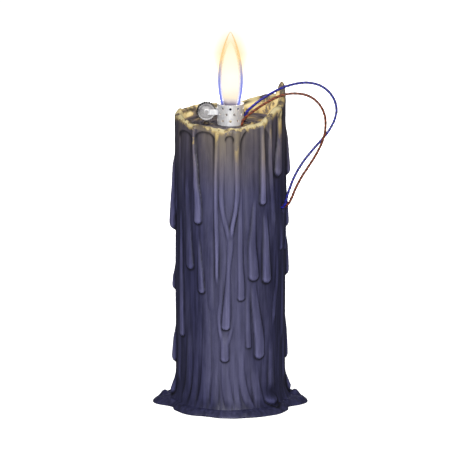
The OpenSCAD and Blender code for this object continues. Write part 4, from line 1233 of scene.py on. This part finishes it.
@dataclass
class WaxPillar:
    """The hollow, dripping pillar with its uneven rim, its spike and its spilled foot."""

    body_r: float = 37
    rim_z: float = 198
    bore_r: float = 31
    rim_wall: float = 4.4
    well_depth: float = 6.6
    foot_front: float = 8.5
    foot_side: float = 14.5
    foot_t: float = 4.5
    foot_blend_h: float = 20
    puddle_share: float = 0.55
    foot_tip_half_width: float = 30
    rim_round_h: float = 3.0
    spike_angle: float = 16
    spike_half_width: float = 14
    tip_z: float = 215.6
    tip_soft: float = 1.6
    spike_thinning: float = 0.4
    band_z: float = 150
    hole_angle: float = -20
    hole_z: float = 137
    hole_r: float = 3.2
    around: int = 340
    front_crowding: float = 0.42
    edge_rows: int = 16
    slope_rows: int = 18
    body_rows: int = 170
    top_rows: int = 56
    rim_rows: int = 16
    wall_rows: int = 11
    relief_low: float = -0.5
    relief_high: float = 2.5
    undercut: float = 1.1
    undercut_h: float = 1.3
    foot_worn: float = 0.35
    drip_lift: float = 1.2
    lift_h: float = 3.5
    dark_foot_h: float = 24.0
    # painted flame light: a lit edge under the rim, and trails down the raised runs
    edge_glow: float = 0.42
    edge_fall: float = 3.5
    trail_glow: float = 1.25
    trail_fall: float = 15.0
    trail_relief: float = 1.2
    fillet: float = 1.2
    fillet_from: float = 0.8
    spike_shade_share: float = 0.75
    spike_shade_angle: float = 4.0
    spike_shade_half_width: float = 42.0
    inner_relief: float = 0.55
    inner_pale: float = 0.8
    # [angle, half width, height] of the rim's lobes
    lobes: tuple = ((32, 62, 9.3), (16, 14, 12.5), (10, 12, 2.5), (-4, 20, 8), (-27, 34, 8.5),
                    (-100, 55, -2.8), (180, 40, 1), (-163, 10, 0.9), (-137, 12, -0.9), (-118, 10, 0.7))
    # [angle, radius, half width, height] of lumps of set wax on the foot
    foot_lumps: tuple = ((176, 45, 4.5, 2.6), (-172, 49, 3.2, 1.6), (-160, 43, 4, 1.8), (-140, 44, 5, 1.2),
                         (3, 44, 5, 3.2), (-6, 49, 3.4, 1.4), (-22, 43, 4.4, 2.2), (-36, 42, 5, 1.6),
                         (30, 44, 5, 2.0), (62, 43, 5, 1.8), (96, 43, 5.5, 1.6), (126, 45, 5, 2.0),
                         (152, 44, 4.4, 1.8), (-112, 44, 3.4, 0.9), (-76, 43, 4, 0.9))
    # [angle, half width, share] of the paler bands round the pillar; the front one is painted light from the
    # front
    pale_and_lit_bands: tuple = ((-92, 44, 1.0), (-150, 26, 0.3), (-52, 24, 0.35), (20, 34, 0.6), (78, 30, 0.8),
                         (128, 26, 0.5), (172, 22, 0.6))
    # [angle, half width, reach] of the foot's lobes
    foot_lobes: tuple = ((-134, 20, 1.6), (-46, 26, 2.4), (44, 22, 1.4), (128, 26, 2.2),
                         (-158, 12, -2.4), (-24, 10, -2.0), (-110, 14, -0.9), (-64, 12, 0.6),
                         (90, 16, -1.2), (66, 10, 0.8), (-173, 20, 3), (-7, 18, 2.6))

    @property
    def floor_z(self) -> float:
        """Height of the well's floor."""
        return self.rim_z - self.well_depth

    def rim_height(self, angle: np.ndarray) -> np.ndarray:
        """Height of the rim's crest: the level rim plus a hump for each lobe, its spike's top rounded.

        Over tip_z what is left is pressed together: height h over it becomes tip_soft (1 - e^(-h/tip_soft)).
        """
        crest = self.rim_z + sum(h * hump(turned(angle - a) / w) for a, w, h in self.lobes)
        over = np.clip(crest - self.tip_z, 0, None)
        return np.minimum(crest, self.tip_z) + self.tip_soft * (1 - np.exp(-over / self.tip_soft))

    def rim_thickness(self, angle: np.ndarray) -> np.ndarray:
        """Thickness of the rim, thinner at the spike and a little uneven."""
        thin = 1 - self.spike_thinning * hump(turned(angle - self.spike_angle) / self.spike_half_width)
        return self.rim_wall * thin * (1 + RIM_WALL_WAVES.at(angle, 0 * angle))

    def foot_reach(self, angle: np.ndarray) -> np.ndarray:
        """Radius of the spilled foot: a round part, a tip left and right, lobes and small waves."""
        tips = hump(turned(angle) / self.foot_tip_half_width) + hump(
            turned(angle - 180) / self.foot_tip_half_width)
        lobes = sum(h * hump(turned(angle - a) / w) for a, w, h in self.foot_lobes)
        waves = FOOT_WAVES.at(angle, 0 * angle) - self.foot_worn
        return self.body_r + self.foot_front + (self.foot_side - self.foot_front) * tips + lobes + waves

    def foot_share(self, z: np.ndarray) -> np.ndarray:
        """How much of the foot's reach the outline has at a height: a round edge plus a soft slope."""
        edge = np.sqrt(np.clip(1 - (z / self.foot_t) ** 2, 0, 1))
        slope = np.clip(1 - z / self.foot_blend_h, 0, 1) ** 3
        return self.puddle_share * edge + (1 - self.puddle_share) * slope

    def surface(self, angle: np.ndarray, z: np.ndarray) -> tuple[np.ndarray, np.ndarray]:
        """Relief of the pillar over its plain radius, and how dark the painted shadow lines under its runs and
        along its arches are.

        Runs join by the cube root of the sum of their cubes, hollows are taken away, and slow waves and
        fine upright streaks are added.

        Args:
            angle: angles of the places.
            z: their heights.

        Returns:
            The relief in millimetres, and the darkness of the painted shadow lines from 0 to 1.
        """
        cubes = np.zeros_like(z)
        shade = np.zeros_like(z)
        hollow = np.zeros_like(z)
        for flow in FLOWS:
            run, line = flow.relief(angle, z, self.body_r)
            cubes += run ** 3
            shade = np.maximum(shade * (1 - np.clip(run / 0.6, 0, 1)), line)
        for arch in ARCHES:
            depth, line = arch.relief(angle, z, self.body_r)
            hollow = np.maximum(hollow, depth)
            shade = np.maximum(shade, line)
        runs = np.cbrt(cubes)
        waves = SLOW_WAVES.at(angle, z) + FINE_WAVES.at(angle, z)
        return runs - hollow * np.clip(1 - runs, 0, 1) + waves + UPRIGHT_STREAKS.at(angle, z), shade

    def spike_shade(self, angle: np.ndarray) -> np.ndarray:
        """How much of the painted flame light the wax lacks, on the side that the spike keeps dark: painted
        shade.
        """
        return self.spike_shade_share * hump(turned(angle - self.spike_shade_angle) / self.spike_shade_half_width)

    def hole_depth(self, angle: np.ndarray, z: np.ndarray) -> np.ndarray:
        """Depth of the side hole where the leads go in, with a soft lip."""
        across = np.radians(turned(angle - self.hole_angle)) * self.body_r
        reach = np.hypot(across, z - self.hole_z)
        return 3.0 * step_up((self.hole_r + 0.5 - reach) / 0.9)

    def columns(self) -> np.ndarray:
        """Angles of the columns, crowded at the front: the even angle less a share of its sine."""
        even = np.arange(self.around) * 2 * np.pi / self.around
        return np.degrees(even - self.front_crowding * np.sin(even)) - 90

    def heights(self, spring: np.ndarray) -> np.ndarray:
        """Heights of the outside's rows: level up to band_z, then evenly up to the rim's spring.

        Args:
            spring: where the rim begins to round, for each column.

        Returns:
            Rows by columns.
        """
        edge = self.foot_t * np.sin(np.linspace(0, np.pi / 2, self.edge_rows))
        slope = np.linspace(self.foot_t + 0.2, self.foot_blend_h, self.slope_rows)
        body = np.linspace(self.foot_blend_h + 0.7, self.band_z, self.body_rows)
        share = np.linspace(0, 1, self.top_rows + 1)[1:, None]
        level = np.concatenate([edge, slope, body])[:, None] + 0 * spring
        return np.concatenate([level, self.band_z + (spring - self.band_z) * share])

    def foot_lift(self, a: np.ndarray, z: np.ndarray, radius: np.ndarray,
                  relief: np.ndarray) -> np.ndarray:
        """How far the drips that lie on the foot and its lumps of set wax lift its top.

        Args:
            a: angles of the places.
            z: their heights.
            radius: their distances from the axis.
            relief: the pillar's relief there.

        Returns:
            The lift in millimetres.
        """
        drips = np.clip(relief, self.relief_low, self.relief_high)
        lift = self.drip_lift * drips * step_up(self.foot_share(z) / 0.3)
        for mid, middle_r, size, height in self.foot_lumps:
            beside = np.radians(turned(a - mid)) * middle_r
            lift += height * hump(np.hypot(radius - middle_r, beside) / size)
        return lift * step_up(z / self.lift_h)

    def outside_glow(self, a: np.ndarray, below: np.ndarray, relief: np.ndarray) -> np.ndarray:
        """Painted flame light on the outside: a lit edge under the rim, and trails down the runs.

        Both fall by e to the power of less the distance under the crest over their lengths.

        Args:
            a: angles of the places.
            below: their distances under the rim's crest.
            relief: the pillar's relief there.

        Returns:
            The glow.
        """
        edge = self.edge_glow * np.exp(-(below - self.rim_round_h) / self.edge_fall)
        trails = self.trail_glow * np.clip(relief / self.trail_relief, 0, 1)
        trails *= np.exp(-below / self.trail_fall)
        return np.maximum(edge, trails) * (1 - self.spike_shade(a))

    def outside(self, angle: np.ndarray, crest: np.ndarray) -> tuple[Strip, np.ndarray]:
        """The outside, from the edge of the foot's underside to the rim's spring.

        The radius goes from the pillar's to the foot's by the foot's share. It is drawn in at the very
        bottom and sinks at the side hole.

        Args:
            angle: the columns' angles.
            crest: the rim's height in each.

        Returns:
            The strip, and the radius of its top row.
        """
        z = self.heights(crest - self.rim_round_h)
        a = angle + 0 * z
        relief, shade = self.surface(a, z)
        pillar = self.body_r + relief
        radius = pillar + (self.foot_reach(a) - pillar) * self.foot_share(z)
        radius -= self.undercut * np.clip(1 - z / self.undercut_h, 0, 1) ** 2
        radius -= self.hole_depth(a, z)
        points = on_circle(radius, a, z + self.foot_lift(a, z, radius, relief))
        raised = np.clip(relief, 0, self.relief_high)
        # ridge: the finish paints shade into the creases and highlight onto the crests and raised runs
        ridge = 0.5 + (relief - softened(relief, 4, 9)) / 1.05 + 0.07 * raised
        # paler bands round the pillar; the front one is painted light from the front
        worn_and_lit = sum(share * hump(turned(a - mid) / half) for mid, half, share in self.pale_and_lit_bands)
        # pale: painted highlight on raised runs, and darker towards the bottom
        pale = worn_and_lit + 0.16 * raised - 0.5 * step_up((self.dark_foot_h - z) / self.dark_foot_h)
        return Strip(points, ridge, pale, self.outside_glow(a, crest - z, relief), shade), radius[-1]

    def rim(self, angle: np.ndarray, spring: np.ndarray, top_r: np.ndarray) -> Strip:
        """Over the rim: half an ellipse from the outside's top to the well's edge, a little lumpy.

        Args:
            angle: the columns' angles.
            spring: where the rim begins to round, for each.
            top_r: the outside's radius there.

        Returns:
            The strip.
        """
        turn = np.linspace(0, np.pi, self.rim_rows + 1)[1:, None]
        a = angle + 0 * turn
        inner_r = self.body_r - self.rim_thickness(angle)
        lumps = RIM_LUMPS.at(a, np.degrees(turn) / 12 + 0 * angle)
        radius = (top_r + inner_r) / 2 + (top_r - inner_r) / 2 * np.cos(turn)
        points = on_circle(radius, a, spring + (self.rim_round_h + lumps) * np.sin(turn))
        over = turn / np.pi
        # painted flame light over the rim, less on its outer half beside the spike
        glow = self.edge_glow + (1 - self.edge_glow) * step_up(over / 0.3)
        glow = glow * (1 - self.spike_shade(angle) * (over < 0.5))
        # painted shade lines over the rim, just inside the crest and at the well's edge, broken by waves
        broken = 0.75 + RIM_SHADE_WAVES.at(a, 0 * radius)
        lines = np.maximum(0.9 * hump((over - 0.86) / 0.3), 0.7 * hump((over - 0.54) / 0.13)) * broken
        return Strip(points, self.inner_relief, self.inner_pale, glow, lines)

    def well_wall(self, angle: np.ndarray, spring: np.ndarray) -> Strip:
        """Down the well's wall, with soft hanging folds, to a fillet at its floor.

        Args:
            angle: the columns' angles.
            spring: height of the wall's top in each.

        Returns:
            The strip.
        """
        down = np.linspace(0, 1, self.wall_rows + 1)[1:, None]
        a = angle + 0 * down
        inner_r = self.body_r - self.rim_thickness(angle)
        z = spring + (self.floor_z - 0.4 - spring) * down
        folds = WALL_FOLDS.at(a, z) * np.sin(np.pi * down)
        fillet = self.fillet * np.clip((down - self.fillet_from) / (1 - self.fillet_from), 0, 1) ** 2
        radius = inner_r + (self.bore_r + 1 - inner_r) * step_up(down * 1.1) + folds - fillet
        # painted flame light on the well's wall, brightest at its top, in streaks
        glow = 0.95 - 0.55 * down ** 1.5 + WALL_STREAKS.at(a, z)
        # painted shade lines: in the crease at the wall's foot, and in streaks down the wall
        foot_shade_line = 0.85 * hump((down - 0.96) / 0.16)
        fold_shade_line = 0.8 * step_up((WALL_SHADE_LINES.at(a, z) - 0.55) / 0.25)
        return Strip(on_circle(radius, a, z), self.inner_relief, self.inner_pale, glow,
                     np.maximum(foot_shade_line, fold_shade_line))

    def bore(self, angle: np.ndarray) -> Strip:
        """The straight bore from under the well's floor to the underside."""
        z = np.array([[self.floor_z - 2], [90], [0]]) + 0 * angle
        return Strip(on_circle(self.bore_r + 0 * z, angle + 0 * z, z), self.inner_relief,
                     self.inner_pale, 0.0, 0.0)

    def build(self, materials: dict[str, bpy.types.Material]) -> None:
        """Builds the pillar as one closed surface.

        Its outline runs at each angle from the bore out along the underside, up the foot and the
        pillar, over the half-round rim and down the well's wall and the bore.

        Args:
            materials: finishes by slot.
        """
        angle = self.columns()
        crest = self.rim_height(angle) + CREST_WAVES.at(angle, 0 * angle)
        spring = crest - self.rim_round_h
        outside, top_r = self.outside(angle, crest)
        strips = [outside, self.rim(angle, spring, top_r), self.well_wall(angle, spring),
                  self.bore(angle)]
        settle(wax_piece("wax_pillar", strips, wrap_rows=True), "wax", Body.CANDLE, materials,
               "wax_body")


@dataclass
class WellFloor:
    """The poured floor of the melted well, with the ripples of set wax round the lighter top."""

    floor_z: float = 191.4
    under_z: float = 186.9
    radius: float = 31.8
    middle_r: float = 0.4
    sunk: float = 0.25
    flat_r: float = 8.6
    ripples_r: float = 9.5
    ripple_h: float = 0.55
    ripple_turn: float = 1.05
    wall_r: float = 28.0
    wall_h: float = 1.1
    rings: int = 90
    around: int = 300

    def ripples(self, a: np.ndarray, r: np.ndarray) -> np.ndarray:
        """Height of the ripples: waves of sine over the distance from a wandering middle, plus noise.

        They rise towards the wall and are flat where the lighter top stands.

        Args:
            a: angles of the places.
            r: their distances from the axis.

        Returns:
            The heights.
        """
        wave = np.sin((r + FLOOR_WANDER.at(a, r)) * self.ripple_turn) * 0.5 + 0.5
        height = self.ripple_h * wave ** 2 * step_up((r - self.ripples_r) / 4)
        height += FLOOR_LUMPS.at(a, r)
        height += self.wall_h * step_up((r - self.wall_r) / 4)
        return height * step_up((r - self.flat_r) / 1.2)

    def build(self, materials: dict[str, bpy.types.Material]) -> None:
        """Builds the floor as a closed disc whose top is rings of ripples.

        Args:
            materials: finishes by slot.
        """
        angle = np.arange(self.around) * 360 / self.around
        r = np.linspace(self.middle_r, self.radius, self.rings)[:, None] + 0 * angle
        a = angle + 0 * r
        height = self.ripples(a, r)
        # relief: painted shade in the troughs of the ripples and painted highlight on their crests
        relief = np.clip(0.5 + (height - softened(height, 4, 14)) * 2.6, 0, 1)
        # painted flame light on the ripples' crests, in patches and more towards +X; painted shade in their
        # troughs
        lit_patch = step_up(0.4 + FLOOR_LIGHT_PATCHES.at(a, r) + 0.35 * hump(turned(angle) / 70))
        top = Strip(on_circle(r, a, self.floor_z - self.sunk + height), relief, 0.5,
                    lit_patch * (0.1 + 0.7 * relief), 0.95 * step_up((0.44 - relief) / 0.2))
        low_r = np.array([[self.radius], [self.radius], [self.middle_r]]) + 0 * angle
        low_z = np.array([[self.floor_z - 2], [self.under_z], [self.under_z]]) + 0 * angle
        under = Strip(on_circle(low_r, angle + 0 * low_r, low_z), 0.0, 0.0, 0.0, 0.0)
        settle(wax_piece("well_floor", [top, under]), "warm_wax", Body.CANDLE, materials, "wax_floor")


# ---------------------------------------------------------------------------
# lighter top and flame
# ---------------------------------------------------------------------------


@dataclass
class StrikerWheel:
    """The toothed wheel, dished on both faces round its hub."""

    radius: float = 6.8
    width: float = 4.4
    teeth: int = 24
    tooth_h: float = 1.15
    bore_r: float = 0.95
    hub_r: float = 2.2
    recess_r: float = 4.5
    recess_d: float = 0.7
    per_tooth: int = 10
    skew: float = 0.25
    tooth_power: float = 0.8
    crisp_angle: float = 38.0

    def build(self, materials: dict[str, bpy.types.Material]) -> None:
        """Builds the wheel round its CAD node's middle.

        Its outline of (radius, place on the axle) goes from the bore over one face, across the teeth
        and back over the other face. The rows on the teeth are drawn in by the tooth height times
        a power of the distance from the nearest tip, and turn a little across the width.

        Args:
            materials: finishes by slot.
        """
        low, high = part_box("striker_wheel")
        middle = [(p + q) / 2 / MM for p, q in zip(low, high)]
        half, floor = self.width / 2, self.width / 2 - self.recess_d
        face = [(self.bore_r, half), (self.hub_r - 0.25, half), (self.hub_r, half - 0.15),
                (self.hub_r + 0.05, floor + 0.05), (self.recess_r - 0.2, floor),
                (self.recess_r, floor + 0.2), (self.recess_r + 0.12, half - 0.08),
                (self.recess_r + 0.3, half), (self.radius - self.tooth_h - 0.35, half)]
        tread = [(self.radius - 0.25, half - 0.02), (self.radius, half - 0.3)]
        outline = face + tread + [(self.radius, y) for y in (1.0, 0.0, -1.0)]
        profile = np.array(outline + [(r, -y) for r, y in reversed(face + tread)])
        cols = self.teeth * self.per_tooth
        turn = np.arange(cols) / cols
        tooth = turn[None] * self.teeth + self.skew * profile[:, 1:] / half
        to_tip = np.abs(tooth - np.round(tooth)) * 2
        cut_rows = (profile[:, :1] > self.radius - self.tooth_h).astype(float)
        r = profile[:, :1] - cut_rows * self.tooth_h * to_tip ** self.tooth_power
        a = 2 * np.pi * turn[None]
        grid = np.stack([middle[0] + r * np.cos(a), middle[1] + profile[:, 1:] + 0 * a,
                         middle[2] + r * np.sin(a)], axis=-1)
        # darkens the teeth, most between them, and the groove round the recess: painted shade in the gaps and the
        # groove
        groove = hump((profile[:, :1] - self.recess_r) / 0.7) + 0 * a
        dark_and_crevice_shade = np.clip(np.maximum(cut_rows * (0.8 + 0.6 * to_tip), 0.4 * groove), 0, 1)
        piece = grid_piece("toothed_wheel", grid, wrap_rows=True, marks={"dark_and_crevice_shade": dark_and_crevice_shade})
        piece.data.set_sharp_from_angle(angle=math.radians(self.crisp_angle))
        settle(piece, "wheel_steel", Body.STRIKER, materials, "striker_wheel")


@dataclass
class Flame:
    """The flame lamp: a clear mantle coloured up its height, round a white heart."""

    foot_z: float = 193.0
    foot_r: float = 4.3
    belly_r: float = 8.3
    height: float = 60.0
    belly: float = 0.45
    heart_foot_r: float = 2.6
    heart_belly_r: float = 6.3
    heart_over_foot: float = 3.0
    heart_under_tip: float = 7.0
    light_z: float = 222.0
    light_r: float = 6.0
    light_watts: float = 0.04
    light_shade: str = "fff0d6"
    around: int = 96
    steps: int = 90

    def profile(self, foot_r: float, belly_r: float, low: float, high: float) -> np.ndarray:
        """A flame's outline from its foot to its tip.

        Under the belly the radius rises from the foot's by a sine to the power one and a half; over it
        it falls by a cosine to the power 0.7.

        Args:
            foot_r: radius at the foot.
            belly_r: widest radius.
            low: height of the foot.
            high: height of the tip.

        Returns:
            Points of (radius, height).
        """
        u = np.sin(np.linspace(0, np.pi / 2, self.steps))
        rise = np.sin(np.pi / 2 * np.clip(u / self.belly, 0, 1)) ** 1.5
        fall = np.cos(np.pi / 2 * np.clip((u - self.belly) / (1 - self.belly), 0, 1)) ** 0.7
        radius = np.where(u < self.belly, foot_r + (belly_r - foot_r) * rise, belly_r * fall)
        return np.stack([np.maximum(radius, POLE_R), low + (high - low) * u], axis=-1)

    def build(self, materials: dict[str, bpy.types.Material]) -> None:
        """Builds the mantle and the heart, which cast no shadow, and the light inside them.

        Args:
            materials: finishes by slot.
        """
        top = self.foot_z + self.height
        outline = self.profile(self.foot_r, self.belly_r, self.foot_z, top)
        mantle = lathe_piece("flame_mantle", outline, self.around)
        outline = self.profile(self.heart_foot_r, self.heart_belly_r,
                               self.foot_z + self.heart_over_foot, top - self.heart_under_tip)
        heart = lathe_piece("flame_heart", outline, self.around)
        for piece in (mantle, heart):
            piece.visible_shadow = False
        settle(mantle, "flame_shell", Body.CANDLE, materials, "flame_shell")
        settle(heart, "flame_core", Body.CANDLE, materials, "flame_core")
        data = bpy.data.lights.new("flame_light", "POINT")
        data.energy = self.light_watts
        data.color = linear(self.light_shade)[:3]
        data.shadow_soft_size = self.light_r * MM
        lamp = bpy.data.objects.new("flame_light", data)
        lamp.location = (0, 0, self.light_z * MM)
        bpy.context.scene.collection.objects.link(lamp)


def dress_cad_nodes(materials: dict[str, bpy.types.Material]) -> None:
    """Gives every CAD node its slot's procedural finish, whether or not a piece replaces it later.

    Args:
        materials: finishes by slot.
    """
    for row in frame["record"]["subparts"]:
        piece = frame["nodes"][row["node"]]
        dress(piece, row["material_slot"], materials)
        log.info("%s: dressed as %s", row["node"], row["material_slot"])


def main() -> None:
    """Builds the camera, the leads, the wax, the lighter top, the flame and the studio in turn."""
    logging.basicConfig(level=logging.INFO, format="%(name)s: %(message)s")
    materials: dict[str, bpy.types.Material] = {}
    studio = Studio()
    studio.build_camera()
    dress_cad_nodes(materials)
    for lead in LEADS:
        lead.build(materials)
    WaxPillar().build(materials)
    WellFloor().build(materials)
    StrikerWheel().build(materials)
    Flame().build(materials)
    studio.build()


if __name__ == "__main__":
    main()
